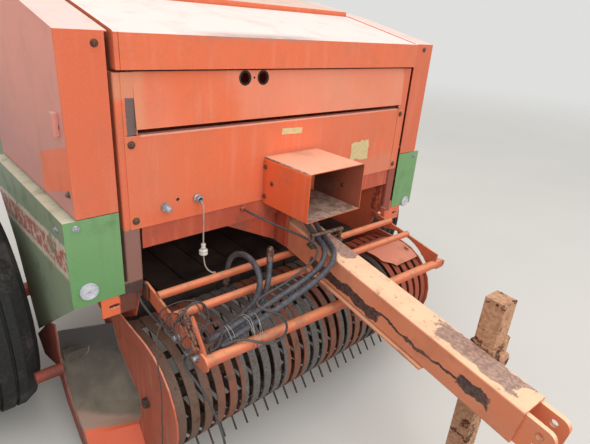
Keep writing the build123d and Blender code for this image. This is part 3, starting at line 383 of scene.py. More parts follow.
def bandFinish():                              # each band keeps its own share of orange and grey
    band = Finish("band_finish")
    index = band.node("Math", {"operation": "FLOOR"}, {0: band.x / 0.048 + 0.5})
    own = band.node("TexWhiteNoise", {"noise_dimensions": "1D"}, {"W": index + 3.3}, "Value")
    fine = band.noise(0.006, 5)
    rusty = band.noise(0.035, 6, 0.65)
    zinc = band.mix(band.rise(fine, 0.3, 0.7), tone(78, 76, 74), tone(120, 114, 108))
    orange = band.mix(band.rise(rusty, 0.4, 0.7), tone(142, 84, 62), tone(104, 76, 62))
    colour = band.mix(band.rise(own + (rusty - 0.5) * 0.5, 0.5, 0.62), zinc, orange)
    end = band.rise(band.x + (rusty - 0.5) * 0.1, -0.45, -0.6)
    brown = band.mix(band.rise(fine, 0.2, 0.8), tone(84, 66, 54), tone(116, 94, 80))
    colour = band.mix(end * 0.85, colour, brown)
    rust = band.rise(rusty + (fine - 0.5) * 0.4, 0.62, 0.68)
    colour = band.mix(rust, colour, band.mix(fine, rustDark, rustMid))
    # painted shadow: the bands go near black between x 0.24 and 0.43
    paintedShadow = band.between(band.x, 0.24, 0.43, 0.03)
    colour = band.mix(paintedShadow * 0.9, colour, tone(42, 36, 33))
    colour = band.mix(band.rise(band.x, 0.428, 0.432) * 0.9, colour, tone(168, 78, 52))
    # painted shade: the bands darken to near black in corners and between parts
    colour = band.mix(band.corners(0.04) * 0.7, colour, tone(38, 28, 24))
    return band.close(colour, fine * 0.15 + rust * 0.25 + 0.48, normal=band.bump(fine + rust * 2, 0.0003))


def beltFinish():
    belt = Finish("belt_finish")
    weave = belt.node("TexWave", {"wave_type": "BANDS", "bands_direction": "X"},
                      {"Vector": belt.place, "Scale": 160.0, "Distortion": 1.0})
    broad = belt.noise(0.12, 5)
    colour = belt.mix(belt.rise(broad, 0.35, 0.7), tone(44, 37, 33), tone(74, 62, 54))
    straw = belt.rise(belt.noise(0.012, 4, stretch=(1, 4, 1)), 0.68, 0.74)
    colour = belt.mix(straw * 0.5, colour, tone(112, 92, 66))
    return belt.close(colour, broad * 0.2 + 0.65, normal=belt.bump(weave + straw * 2, 0.0002))


def shieldFinish(side):                        # trough sheet: grey-olive inside, painted shade high up, a painted highlight above its orange low lip
    sheet = Finish("shield_finish_" + side)
    fine = sheet.noise(0.006, 5)
    ragged = (sheet.noise(0.08, 5) - 0.5)
    inner = sheet.mix(sheet.rise(sheet.noise(0.15, 4), 0.35, 0.65), tone(84, 76, 66), tone(112, 102, 88))
    # painted shade on the sheet's upper, upright part
    high = sheet.rise(sheet.z + ragged * 0.12, 0.32, 0.42)
    colour = sheet.mix(high, inner, tone(50, 45, 42))
    lip = sheet.rise(sheet.z + ragged * 0.03, 0.165, 0.150)
    # painted highlight on the low part of the sheet, where it turns to face up
    colour = sheet.mix(sheet.rise(sheet.z + ragged * 0.04, 0.215, 0.19), colour, tone(150, 122, 106))
    colour = sheet.mix(lip, colour, tone(214, 96, 62))
    out = sheet.rise(sheet.x * (1 if side == "left" else -1), 0.8385, 0.8398)
    plate = sheet.mix(sheet.rise(sheet.noise(0.05, 5), 0.4, 0.65), tone(140, 62, 48), tone(104, 56, 44))
    colour = sheet.mix(out, colour, plate)
    worn = sheet.edges(0.003) * sheet.rise(sheet.noise(0.04, 4), 0.35, 0.55)
    colour = sheet.mix(worn, colour, tone(170, 140, 122))
    rust = sheet.rise(sheet.noise(0.03, 6, 0.7), 0.62, 0.7)
    colour = sheet.mix(rust * 0.8, colour, sheet.mix(fine, rustDark, rustMid))
    return sheet.close(colour, fine * 0.1 + rust * 0.2 + 0.55, normal=sheet.bump(fine + rust, 0.0004))


def lampFinish():
    lamp = Finish("lamp_finish", rough=0.3)
    back = lamp.rise(lamp.y, panelY + 1.480, panelY + 1.482)
    fine = lamp.noise(0.01, 4)
    lens = lamp.mix(lamp.rise(lamp.x * lamp.x, 0.265, 0.275), tone(190, 26, 20), tone(226, 120, 20))
    colour = lamp.mix(back, tone(38, 36, 35), lens)
    return lamp.close(lamp.mix(fine * 0.25, colour, tone(96, 84, 76)), fine * 0.2 + 0.25)


paintLooks = {         # what differs from paintBase
    "hood": dict(shape=hoodShape, bleachAndSheen=(0.3, 0.7), bleachAndSheenTone=tone(250, 228, 220), dirt=0.2, rust=0.03),
    "cover": dict(bleachAndSheen=(0.4, 0.8), bleachAndSheenTone=tone(232, 200, 184), dirt=0.3, rust=0.06),
    "upper": dict(second=tone(240, 136, 102), streak=tone(244, 166, 138), streaks=0.2, spots=(
        dict(x=(-0.66, -0.585), z=(1.20, 1.36), ragged=0.05, size=0.08, soft=0.015, tone=tone(232, 156, 118),
             share=0.6),
        dict(x=(-0.30, 0.62), z=(1.18, 1.36), ragged=0.3, size=0.3, soft=0.05, tone=tone(240, 160, 130),
             share=0.45),
    )),
    "lower": dict(spots=(
        dict(x=(-0.60, 0.60), z=(1.167, 1.18), ragged=0.006, soft=0.0015, tone=tone(255, 190, 168),
             share=0.7),
        dict(x=(0.3, 0.62), z=(0.88, 0.97), ragged=0.08, size=0.06, soft=0.02, tone=tone(222, 140, 112),
             share=0.6),
        dict(x=(-0.60, -0.30), z=(0.88, 0.93), ragged=0.05, size=0.06, soft=0.02, tone=tone(238, 108, 66),
             share=0.5),
    )),
    "door": dict(shape=doorShape, paint=tone(230, 110, 70), second=tone(226, 114, 78),
                 bleachAndSheenTone=tone(238, 210, 200), bleachAndSheen=(0.5, 0.85), streaks=0.2),
    "green": dict(shape=greenShape, paint=tone(108, 160, 102), second=tone(122, 168, 112),
                  streak=tone(92, 128, 84), bleachAndSheenTone=tone(212, 212, 186), cornerShadeTone=tone(54, 66, 44),
                  dirtTone=tone(96, 110, 78), dirt=0.5, rust=0.03),
    "frame": dict(paint=tone(206, 92, 62), second=tone(184, 82, 58), bleachAndSheenTone=tone(226, 150, 120), edge=0.8,
                  dirtTone=tone(110, 76, 62), dirt=0.6, rust=0.10, cornerShadeTone=tone(74, 36, 28)),
    "post": dict(second=tone(232, 116, 80), dirt=0.25, rust=0.04, spots=(
        dict(x=(-0.69, -0.60), z=(1.27, 1.36), ragged=0.05, size=0.05, soft=0.01, tone=tone(226, 152, 116),
             share=0.7),
        dict(x=(-0.639, -0.612), y=(-0.01, 0.01), z=(1.160, 1.276), ragged=0.010, size=0.012, soft=0.001,
             tone=tone(112, 92, 88)),
        dict(x=(-0.70, -0.612), y=(-0.02, 0.07), z=(0.67, 0.89), ragged=0.05, size=0.03,
             tone=tone(134, 104, 96), share=0.9),
        # painted shade: a near-black patch low on the right post's front
        dict(x=(-0.698, -0.60), y=(-0.02, 0.02), z=(0.60, 0.712), ragged=0.008, tone=tone(52, 38, 34),
             share=0.85),
        dict(x=(0.612, 0.67), y=(-0.02, 0.07), z=(0.67, 0.89), ragged=0.04, size=0.03, tone=tone(130, 66, 56),
             share=0.85),
    )),
    "guard": dict(shape=guardShape, paint=tone(248, 116, 66), second=tone(242, 110, 64),
                  bleachAndSheenTone=tone(253, 190, 158), bleachAndSheen=(0.5, 0.9), dirt=0.3, cornerShadeTone=tone(110, 52, 40)),
    "drawbar": dict(shape=drawbarShape, paint=tone(238, 140, 100), second=tone(240, 154, 116), rust=0.05,
                    edge=0.8, bleachAndSheenTone=tone(254, 208, 168), streak=tone(236, 172, 136), dirt=0.3,
                    streakStretch=(4, 24, 4)),
    "side": dict(paint=tone(206, 100, 70), second=tone(186, 86, 60), bleachAndSheenTone=tone(230, 150, 120), edge=0.8,
                 dirtTone=tone(130, 84, 66), dirt=0.4, rust=0.06, cornerShadeTone=tone(80, 44, 36), spots=(
                     dict(x=(0.6752, 0.9), tone=tone(74, 68, 60)),
                     dict(x=(-0.9, -0.6752), tone=tone(74, 68, 60)),
                 )),
    "tube": dict(paint=tone(218, 108, 68), second=tone(204, 106, 74), bleachAndSheenTone=tone(232, 148, 106),
                 bleachAndSheen=(0.2, 0.9), rust=0.13, edge=0.9, dirt=0.6, dirtSize=0.05, streakStretch=(10, 1, 1)),
    "tail": dict(paint=tone(224, 118, 84), second=tone(218, 130, 102), bleachAndSheenTone=tone(250, 214, 196),
                 rust=0.06),
    "rim": dict(paint=tone(176, 92, 62), second=tone(150, 84, 60), dirt=0.8, rust=0.12, edge=0.8),
}
steelLooks = {         # dark tone, pale tone and what differs from plainSteel's own values
    "zinc": dict(dark=tone(150, 156, 162), pale=tone(196, 200, 204), rough=0.35, rust=0.05),
    "bolt": dict(dark=tone(84, 68, 58), pale=tone(126, 104, 88), rough=0.55, rust=0.6, size=0.008),
    "worn": dict(dark=tone(96, 84, 76), pale=tone(140, 124, 112), rough=0.5, rust=0.5),
    "iron": dict(dark=tone(52, 46, 42), pale=tone(84, 74, 66), rough=0.6, metal=0.2, rust=0.4),
    "shaft": dict(dark=tone(112, 104, 98), pale=tone(158, 150, 142), rough=0.35, metal=0.9, rust=0.2),
    "stand": dict(dark=tone(178, 130, 98), pale=tone(206, 160, 126), rough=0.65, metal=0.0, rust=0.45,
                  size=0.03),
    "reel": dict(dark=tone(46, 39, 35), pale=tone(72, 60, 52), rough=0.7, metal=0.0, rust=0.4),
    "stub": dict(dark=tone(132, 96, 82), pale=tone(160, 118, 100), rough=0.7, metal=0.1, rust=0.5),
    "chrome": dict(dark=tone(196, 196, 198), pale=tone(222, 222, 224), rough=0.15, metal=1.0, rust=0.0),
    "lens": dict(dark=tone(196, 198, 208), pale=tone(216, 218, 224), rough=0.3, metal=0.0, rust=0.0),
    "wire": dict(dark=tone(150, 146, 140), pale=tone(190, 186, 180), rough=0.45, metal=0.2, rust=0.1),
}
rubberLooks = {        # rubber, fibre and plastic
    "string": dict(dark=tone(70, 56, 56), pale=tone(104, 88, 84), rough=0.9, dust=0.2, size=0.003),
    "hose": dict(dark=tone(58, 60, 66), pale=tone(84, 86, 94), rough=0.45, dust=0.45),
    "cable": dict(dark=tone(56, 54, 56), pale=tone(82, 80, 82), rough=0.5, dust=0.4, size=0.006),
    "tyre": dict(dark=tone(26, 26, 27), pale=tone(42, 41, 41), rough=0.75, dust=0.3),
    "twine": dict(dark=tone(148, 136, 120), pale=tone(196, 184, 168), rough=0.9, dust=0.2, size=0.003),
    "plastic": dict(dark=tone(198, 196, 186), pale=tone(220, 218, 208), rough=0.4, dust=0.3),
    "plate": dict(dark=tone(214, 192, 138), pale=tone(228, 208, 156), rough=0.5, dust=0.3),
}
finishes = {name: paintedSteel(name + "_paint", **look) for name, look in paintLooks.items()}
finishes.update({name: plainSteel(name + "_finish", **look) for name, look in steelLooks.items()})
finishes.update({name: rubber(name + "_skin", **look) for name, look in rubberLooks.items()})
finishes.update(band=bandFinish(), belt=beltFinish(), lamp=lampFinish())
finishes.update(shieldLeft=shieldFinish("left"), shieldRight=shieldFinish("right"))


def pair(name):
    return [name + "_left", name + "_right"]


dress = {
    "hood": ["hood"],
    "cover": ["top_cover"],
    "upper": ["upper_front_panel"],
    "lower": ["lower_front_panel"],
    "door": pair("side_door"),
    "green": pair("lower_shield") + pair("tailgate_guard"),
    "post": pair("side_frame"),
    "frame": ["front_crossbeam", "axle_beam"] + pair("ram_barrel"),
    "side": pair("pickup_side"),
    "guard": ["pto_guard"],
    "drawbar": ["drawbar", "hitch_clevis"],
    "tube": ["windguard"],
    "tail": pair("tailgate_side") + ["tailgate_shell"],
    "rim": pair("wheel_rim"),
    "worn": ["belt_rollers", "hose_bridge", "twine_guides"],
    "reel": ["tine_reel"],
    "iron": ["gearbox"],
    "shaft": ["pto_stub"],
    "stand": ["stand_leg", "stand_sleeve"],
    "chrome": pair("ram_rod"),
    "tyre": pair("tyre"),
    "band": ["pickup_bands"],
    "belt": ["floor_belts"],
    "shieldLeft": ["end_shield_left"],
    "shieldRight": ["end_shield_right"],
    "lamp": ["tail_lamps"],
    "lens": ["front_reflectors"],
}
for finishName, names in dress.items():
    for name in names:
        for slot in nodes[name].material_slots:
            slot.material = finishes[finishName].material
print("finishes done")


# shapes
class Shape:           # gathers the faces of one piece
    def __init__(self):
        self.mesh = bmesh.new()

    def ring(self, place, radius, height, sides, turn):
        if radius == 0:
            return [self.mesh.verts.new(place @ Vector((0, 0, height)))]
        loop = []
        for k in range(sides):
            angle = math.tau * k / sides + turn
            point = Vector((radius * math.cos(angle), radius * math.sin(angle), height))
            loop.append(self.mesh.verts.new(place @ point))
        return loop

    def bridge(self, lower, upper):
        count = max(len(lower), len(upper))
        for k in range(count):
            n = (k + 1) % count
            if len(lower) == 1:
                self.mesh.faces.new((lower[0], upper[n], upper[k]))
            elif len(upper) == 1:
                self.mesh.faces.new((lower[k], lower[n], upper[0]))
            else:
                self.mesh.faces.new((lower[k], lower[n], upper[n], upper[k]))

    def skin(self, loops, ends=True):          # faces from loop to loop, and on both ends
        for lower, upper in zip(loops, loops[1:]):
            self.bridge(lower, upper)
        if ends:
            self.mesh.faces.new(reversed(loops[0]))
            self.mesh.faces.new(loops[-1])

    def lathe(self, place, profile, sides=20, turn=0.0):       # profile as (radius, height), from its foot
        self.skin([self.ring(place, r, h, sides, turn) for r, h in profile], ends=False)

    def hexHead(self, place, across, height):      # a hexagon on its washer
        r = across / math.sqrt(3)
        washer = 0.002
        top = washer + height
        rim = [(0, 0), (r * 1.35, 0), (r * 1.35, washer * 0.8), (r * 1.25, washer), (0, washer)]
        head = [(0, washer), (r, washer), (r, top - height * 0.2), (r * 0.86, top), (0, top)]
        self.lathe(place, rim, 20)
        self.lathe(place, head, 6, 0.3)

    def domeHead(self, place, radius, height):
        shares = ((0, 0), (1, 0), (1, 0.25), (0.9, 0.6), (0.6, 0.92), (0, 1))
        self.lathe(place, [(radius * across, height * up) for across, up in shares], 18)

    def tube(self, points, radius, sides=8, closed=False):
        points = [Vector(p) for p in points]
        count = len(points)
        loops = []
        side = None
        for k in range(count):
            if closed:
                ahead = points[(k + 1) % count] - points[k - 1]
            else:
                ahead = points[min(k + 1, count - 1)] - points[max(k - 1, 0)]
            ahead.normalize()
            if side is None:
                side = ahead.orthogonal().normalized()
            side = (side - ahead * side.dot(ahead)).normalized()
            other = ahead.cross(side)
            r = radius[k] if isinstance(radius, (list, tuple)) else radius
            loop = []
            for j in range(sides):
                angle = math.tau * j / sides
                away = side * math.cos(angle) + other * math.sin(angle)
                loop.append(self.mesh.verts.new(points[k] + away * r))
            loops.append(loop)
        self.skin(loops, ends=not closed)
        if closed:
            first, last = loops[0], loops[-1]
            shift = min(range(sides), key=lambda s: (first[s].co - last[0].co).length)
            self.bridge(last, first[shift:] + first[:shift])

    def slab(self, place, outline, thickness, chamfer=0.0):    # outline in the place's own plane
        def loop(scale, height):
            cx = sum(p[0] for p in outline) / len(outline)
            cy = sum(p[1] for p in outline) / len(outline)
            verts = []
            for px, py in outline:
                away = Vector((px - cx, py - cy))
                shrink = away * (1 - scale / max(away.length, 1e-6)) if scale else away
                verts.append(self.mesh.verts.new(place @ Vector((cx + shrink.x, cy + shrink.y, height))))
            return verts
        levels = ((chamfer, 0), (0, chamfer), (0, thickness - chamfer), (chamfer, thickness))
        self.skin([loop(scale, height) for scale, height in levels])

    def piece(self, name, body, slot, finish, sharp=35):
        bmesh.ops.remove_doubles(self.mesh, verts=self.mesh.verts, dist=1e-7)
        bmesh.ops.recalc_face_normals(self.mesh, faces=self.mesh.faces)
        data = bpy.data.meshes.new(name)
        self.mesh.to_mesh(data)
        self.mesh.free()
        data.materials.append(finishes[finish].material)
        data.shade_smooth()
        data.set_sharp_from_angle(angle=math.radians(sharp))
        made = addObject(name, data)
        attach(made, body)
        return made


def toward(point, direction, spin=0.0):        # a place whose z axis looks along a direction
    direction = Vector(direction).normalized()
    turn = direction.to_track_quat("Z", "Y").to_matrix().to_4x4()
    return Matrix.Translation(at(*point)) @ turn @ Matrix.Rotation(spin, 4, "Z")


def smoothLoop(points, steps=5):               # a closed line through points
    out = []
    count = len(points)
    for k in range(count):
        a, b, c, d = (Vector(points[(k + j - 1) % count]) for j in range(4))
        for step in range(steps):
            t = step / steps
            curved = (2 * a - 5 * b + 4 * c - d) * t * t + (3 * b - a - 3 * c + d) * t ** 3
            out.append(0.5 * (2 * b + (c - a) * t + curved))
    return out


toRight, toLeft, toFront = (-1, 0, 0), (1, 0, 0), (0, -1, 0)      # the machine's own sides

# cords: control points as in the part's source
cordLooks = {
    "hose_a": dict(
        finish="hose", slot="hose_rubber", diameter=0.020, length=1.355, end="connector",
        stiffness="medium", lay="hanging", route=(
        (-0.034, -0.030, 0.850), (-0.034, -0.068, 0.850), (-0.041, -0.120, 0.828), (-0.049, -0.172, 0.802),
        (-0.060, -0.224, 0.790), (-0.075, -0.264, 0.784), (-0.099, -0.294, 0.770), (-0.135, -0.312, 0.750),
        (-0.186, -0.314, 0.727), (-0.250, -0.308, 0.703), (-0.322, -0.300, 0.679), (-0.392, -0.290, 0.654),
        (-0.452, -0.282, 0.634), (-0.500, -0.278, 0.622), (-0.534, -0.276, 0.612), (-0.549, -0.257, 0.596),
        (-0.534, -0.238, 0.580), (-0.482, -0.237, 0.593), (-0.428, -0.237, 0.609), (-0.380, -0.237, 0.630),
        (-0.346, -0.237, 0.658), (-0.328, -0.232, 0.698), (-0.318, -0.208, 0.738), (-0.314, -0.164, 0.762),
        (-0.314, -0.111, 0.762), (-0.318, -0.065, 0.738), (-0.321, -0.038, 0.696), (-0.322, -0.033, 0.649),
    )),
    "hose_b": dict(
        finish="hose", slot="hose_rubber", diameter=0.020, length=1.233, end="connector",
        stiffness="medium", lay="hanging", route=(
        (0.008, -0.030, 0.850), (0.008, -0.070, 0.850), (0.000, -0.122, 0.828), (-0.016, -0.176, 0.803),
        (-0.031, -0.226, 0.790), (-0.046, -0.270, 0.785), (-0.068, -0.308, 0.778), (-0.100, -0.334, 0.764),
        (-0.144, -0.346, 0.745), (-0.202, -0.346, 0.721), (-0.272, -0.338, 0.693), (-0.346, -0.328, 0.664),
        (-0.410, -0.314, 0.636), (-0.462, -0.304, 0.613), (-0.498, -0.299, 0.600), (-0.530, -0.296, 0.590),
        (-0.545, -0.277, 0.574), (-0.530, -0.258, 0.558), (-0.480, -0.257, 0.570), (-0.424, -0.255, 0.586),
        (-0.374, -0.251, 0.604), (-0.330, -0.241, 0.630), (-0.294, -0.225, 0.664), (-0.268, -0.203, 0.704),
        (-0.248, -0.180, 0.742),
    )),
    "lamp_cable": dict(
        finish="cable", slot="hose_rubber", diameter=0.008, length=1.001, end="connector",
        stiffness="limp", lay="loose", route=(
        (-0.235, -0.008, 0.870), (-0.235, -0.034, 0.870), (-0.216, -0.062, 0.858), (-0.181, -0.098, 0.839),
        (-0.147, -0.143, 0.821), (-0.120, -0.190, 0.808), (-0.104, -0.236, 0.799), (-0.108, -0.268, 0.786),
        (-0.136, -0.288, 0.770), (-0.182, -0.292, 0.750), (-0.240, -0.290, 0.728), (-0.300, -0.287, 0.710),
        (-0.350, -0.286, 0.702), (-0.384, -0.291, 0.700), (-0.402, -0.307, 0.697), (-0.398, -0.329, 0.691),
        (-0.374, -0.345, 0.681), (-0.345, -0.355, 0.662), (-0.325, -0.362, 0.636), (-0.319, -0.366, 0.606),
        (-0.333, -0.367, 0.582), (-0.363, -0.365, 0.573), (-0.396, -0.361, 0.579), (-0.424, -0.354, 0.594),
        (-0.450, -0.343, 0.606), (-0.478, -0.326, 0.614), (-0.509, -0.318, 0.609),
    )),
    "trip_cable": dict(
        finish="cable", slot="hose_rubber", diameter=0.008, length=1.314, end="knot",
        stiffness="limp", lay="hanging", route=(
        (-0.636, 0.0093, 0.694), (-0.636, 0.0091, 0.662), (-0.633, -0.006, 0.632), (-0.626, -0.042, 0.610),
        (-0.622, -0.092, 0.602), (-0.622, -0.138, 0.606), (-0.625, -0.178, 0.624), (-0.620, -0.204, 0.656),
        (-0.602, -0.212, 0.690), (-0.568, -0.202, 0.706), (-0.530, -0.192, 0.696), (-0.507, -0.193, 0.665),
        (-0.504, -0.202, 0.632), (-0.524, -0.210, 0.606), (-0.560, -0.221, 0.584), (-0.592, -0.234, 0.564),
        (-0.622, -0.252, 0.560), (-0.636, -0.283, 0.556), (-0.625, -0.320, 0.532), (-0.601, -0.350, 0.468),
        (-0.578, -0.367, 0.388), (-0.558, -0.371, 0.302), (-0.542, -0.368, 0.214), (-0.536, -0.372, 0.130),
        (-0.528, -0.392, 0.055), (-0.500, -0.430, 0.013), (-0.450, -0.456, 0.0065),
    )),
    "loose_string": dict(
        finish="string", slot="twine_fibre", diameter=0.004, length=0.598, end="knot",
        stiffness="limp", lay="hanging", route=(
        (-0.6064, -0.150, 0.642), (-0.634, -0.152, 0.643), (-0.664, -0.172, 0.630), (-0.686, -0.208, 0.586),
        (-0.692, -0.232, 0.526), (-0.690, -0.237, 0.462), (-0.688, -0.232, 0.404), (-0.690, -0.229, 0.346),
        (-0.688, -0.226, 0.288), (-0.691, -0.223, 0.230), (-0.688, -0.222, 0.172), (-0.690, -0.224, 0.118),
    )),
    "twine_drop": dict(
        finish="twine", slot="twine_fibre", diameter=0.005, length=0.291, end="knot",
        stiffness="limp", lay="hanging", route=(
        (-0.420, -0.016, 0.945), (-0.420, -0.032, 0.944), (-0.421, -0.040, 0.930), (-0.421, -0.041, 0.906),
        (-0.420, -0.039, 0.862), (-0.421, -0.037, 0.806), (-0.420, -0.037, 0.744), (-0.416, -0.040, 0.712),
        (-0.405, -0.046, 0.692), (-0.390, -0.050, 0.682),
    )),
}


def makeCord(node, look):
    curve = bpy.data.curves.new(node + "_line", "CURVE")
    curve.dimensions = "3D"
    curve.bevel_depth = look["diameter"] / 2
    curve.bevel_resolution = 4
    curve.use_fill_caps = True
    spline = curve.splines.new("NURBS")
    spline.points.add(len(look["route"]) - 1)
    for point, place in zip(spline.points, look["route"]):
        point.co = (*at(*place), 1.0)
    spline.order_u = 3
    spline.use_endpoint_u = True
    spline.resolution_u = 8
    curve.materials.append(finishes[look["finish"]].material)
    piece = addObject(node + "_line", curve)
    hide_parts(node)
    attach(piece, "root")
    return piece


def routeEnd(look):                            # the last point, and the way the cord goes there
    last, before = Vector(look["route"][-1]), Vector(look["route"][-2])
    return last, (last - before).normalized()


couplingLook = dict(
    ferrule=[(0.0100, -0.004), (0.0118, -0.003), (0.0122, 0.004), (0.0116, 0.006), (0.0122, 0.008),
             (0.0116, 0.010), (0.0122, 0.012), (0.0116, 0.014), (0.0110, 0.018), (0, 0.018)],
    hexagon=[(0, 0.018), (0.0118, 0.018), (0.0126, 0.0195), (0.0126, 0.0255), (0.0118, 0.027), (0, 0.027)],
    foot=0.027, ribs=4, ribPitch=0.0035,
    rib=((0.0126, 0), (0.0126, 0.0016), (0.0118, 0.002), (0.0118, 0.003)),
    tip=[(0.0108, 0.0435), (0.0088, 0.044), (0.0084, 0.0495), (0.0072, 0.051), (0.005, 0.051), (0.005, 0.046),
         (0, 0.046)],
)


def quickCoupling(node, look):                 # ferrule, hexagon, ribbed collar and tip
    shape = Shape()
    place = toward(*routeEnd(cordLooks[node]))
    shape.lathe(place, look["ferrule"], 24)
    shape.lathe(place, look["hexagon"], 6)
    collar = [(0, look["foot"]), (0.0112, look["foot"])]
    for step in range(look["ribs"]):
        start = look["foot"] + 0.002 + step * look["ribPitch"]
        collar += [(r, start + h) for r, h in look["rib"]]
    shape.lathe(place, collar + look["tip"], 24)
    piece = shape.piece("coupling_" + node[-1], "root", "worn_steel", "worn")
    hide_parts("hose_coupling_" + node[-1])
    return piece


ferruleLook = dict(
    nut=[(0, -0.016), (0.0150, -0.016), (0.0156, -0.0145), (0.0156, -0.002), (0.0150, -0.001), (0, -0.001)],
    sleeve=[(0.0112, -0.001), (0.0128, 0.001), (0.0130, 0.008), (0.0122, 0.010), (0.0130, 0.012),
            (0.0122, 0.014), (0.0130, 0.016), (0.0126, 0.026), (0.0114, 0.030), (0.0101, 0.0305)],
)


def hoseFerrule(node, look):                   # crimped sleeve and nut where a hose leaves its port
    shape = Shape()
    place = toward(cordLooks[node]["route"][0], toFront)
    shape.lathe(place, look["nut"], 6)
    shape.lathe(place, look["sleeve"], 24)
    return shape.piece("ferrule_" + node[-1], "root", "worn_steel", "worn")


def cordKnot(node, size):                      # an overhand knot at the end of the cord
    look = cordLooks[node]
    last, ahead = routeEnd(look)
    middle = last + ahead * size * 0.8
    middle.z = max(middle.z, size * 1.02 + look["diameter"] / 2 + 0.001)
    place = toward(middle, ahead)
    points = []
    for k in range(36):
        t = math.tau * k / 36
        x = math.sin(t) + 2 * math.sin(2 * t)
        y = math.cos(t) - 2 * math.cos(2 * t)
        points.append(place @ (Vector((x, y, -math.sin(3 * t))) * size * 0.34))
    shape = Shape()
    shape.tube(points, look["diameter"] * 0.45, 8, closed=True)
    return shape.piece(node + "_knot", "root", look["slot"], look["finish"])


socketLook = [(0.0042, -0.012), (0.0048, -0.010), (0.0060, -0.002), (0.0068, 0.0), (0.0070, 0.004),
              (0.0064, 0.005), (0.0070, 0.006), (0.0070, 0.018), (0.0062, 0.020), (0.0062, 0.024),
              (0.0050, 0.024), (0.0050, 0.018), (0, 0.018)]


def cableSocket(node, profile):                # small two-pin connector on the lamp cable
    shape = Shape()
    shape.lathe(toward(*routeEnd(cordLooks[node])), profile, 20)
    return shape.piece("lamp_connector", "root", "hose_rubber", "cable")


beadLook = dict(
    axis=(-0.4205, -0.037), bore=0.0034, beads=((0.756, 0.778, 0.0150), (0.779, 0.799, 0.0082)),
    rim=((0.7, 0), (0.95, 0.15), (1, 0.3), (0.82, 0.5), (1, 0.7), (0.95, 0.85), (0.7, 1)),
)


def twineBeads(look):                          # a stop bead with a lobed rim under a small one
    shape = Shape()
    bore = look["bore"]
    for low, high, r in look["beads"]:
        tall = high - low
        rim = [(r * across, tall * up) for across, up in look["rim"]]
        shape.lathe(toward((*look["axis"], low), (0, 0, 1)), [(bore, 0)] + rim + [(bore, tall)], 24)
    piece = shape.piece("twine_beads", "root", "pale_plastic", "plastic")
    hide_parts("twine_bead")
    return piece


cordPieces = {node: makeCord(node, look) for node, look in cordLooks.items()}
carried = {
    "hose_a": [quickCoupling("hose_a", couplingLook), hoseFerrule("hose_a", ferruleLook)],
    "hose_b": [quickCoupling("hose_b", couplingLook), hoseFerrule("hose_b", ferruleLook)],
    "lamp_cable": [cableSocket("lamp_cable", socketLook)],
    "trip_cable": [cordKnot("trip_cable", 0.007)],
    "loose_string": [cordKnot("loose_string", 0.006)],
    "twine_drop": [twineBeads(beadLook), cordKnot("twine_drop", 0.006)],
}
for node, look in cordLooks.items():
    at(*look["route"][0])
print("cords done")


# fasteners: where each one sits, the way it faces, its width or radius, its height
boltLooks = {
    "front_bolts": dict(body="root", finish="bolt", kind="dome", places=(
        ((-0.629, -0.0005, 1.147), toFront, 0.0115, 0.007),
        ((-0.630, -0.0005, 0.915), toFront, 0.0115, 0.007),
        ((0.629, -0.0005, 1.147), toFront, 0.0115, 0.007),
        ((0.630, -0.0005, 0.915), toFront, 0.0115, 0.007),
        ((-0.147, -0.013, 1.016), toRight, 0.008, 0.005), ((-0.147, -0.050, 0.963), toRight, 0.008, 0.005),
        ((-0.147, -0.013, 0.905), toRight, 0.008, 0.005), ((0.118, -0.152, 0.944), toRight, 0.008, 0.005),
        ((0.121, -0.013, 1.016), toLeft, 0.008, 0.005), ((0.121, -0.013, 0.905), toLeft, 0.008, 0.005),
    )),
    "strap_bolts": dict(body="root", finish="zinc", kind="hex", places=(
        ((-0.606, -0.195, 0.602), toRight, 0.015, 0.016), ((-0.606, -0.262, 0.590), toRight, 0.015, 0.014),
        ((-0.606, -0.300, 0.592), toRight, 0.015, 0.012),
        ((0.606, -0.120, 0.610), toLeft, 0.016, 0.010), ((0.606, -0.262, 0.560), toLeft, 0.016, 0.010),
    )),
    "guard_bolts": dict(body="root", finish="zinc", kind="hex", places=(
        ((-0.801, 0.0, 0.931), toFront, 0.013, 0.006), ((0.801, 0.0, 0.931), toFront, 0.013, 0.006),
        ((-0.835, 0.060, 0.915), toRight, 0.013, 0.006), ((0.835, 0.060, 0.915), toLeft, 0.013, 0.006),
    )),
    "door_bolts_right": dict(body="side_door_right", finish="worn", kind="hex", places=(
        ((-0.800, 0.048, 1.203), toRight, 0.013, 0.006), ((-0.800, 0.028, 1.022), toRight, 0.013, 0.006),
        ((-0.706, 0.0, 1.413), toFront, 0.013, 0.006),
    )),
    "door_bolts_left": dict(body="side_door_left", finish="worn", kind="hex", places=(
        ((0.800, 0.048, 1.203), toLeft, 0.013, 0.006), ((0.800, 0.028, 1.022), toLeft, 0.013, 0.006),
        ((0.735, 0.0, 1.421), toFront, 0.013, 0.006),
    )),
}


def makeBolts(name, look):
    shape = Shape()
    for place, direction, size, height in look["places"]:
        if look["kind"] == "hex":
            shape.hexHead(toward(place, direction), size, height)
        else:
            shape.domeHead(toward(place, direction), size, height)
    shape.piece(name, look["body"], "worn_steel", look["finish"])


for name, look in boltLooks.items():
    makeBolts(name, look)


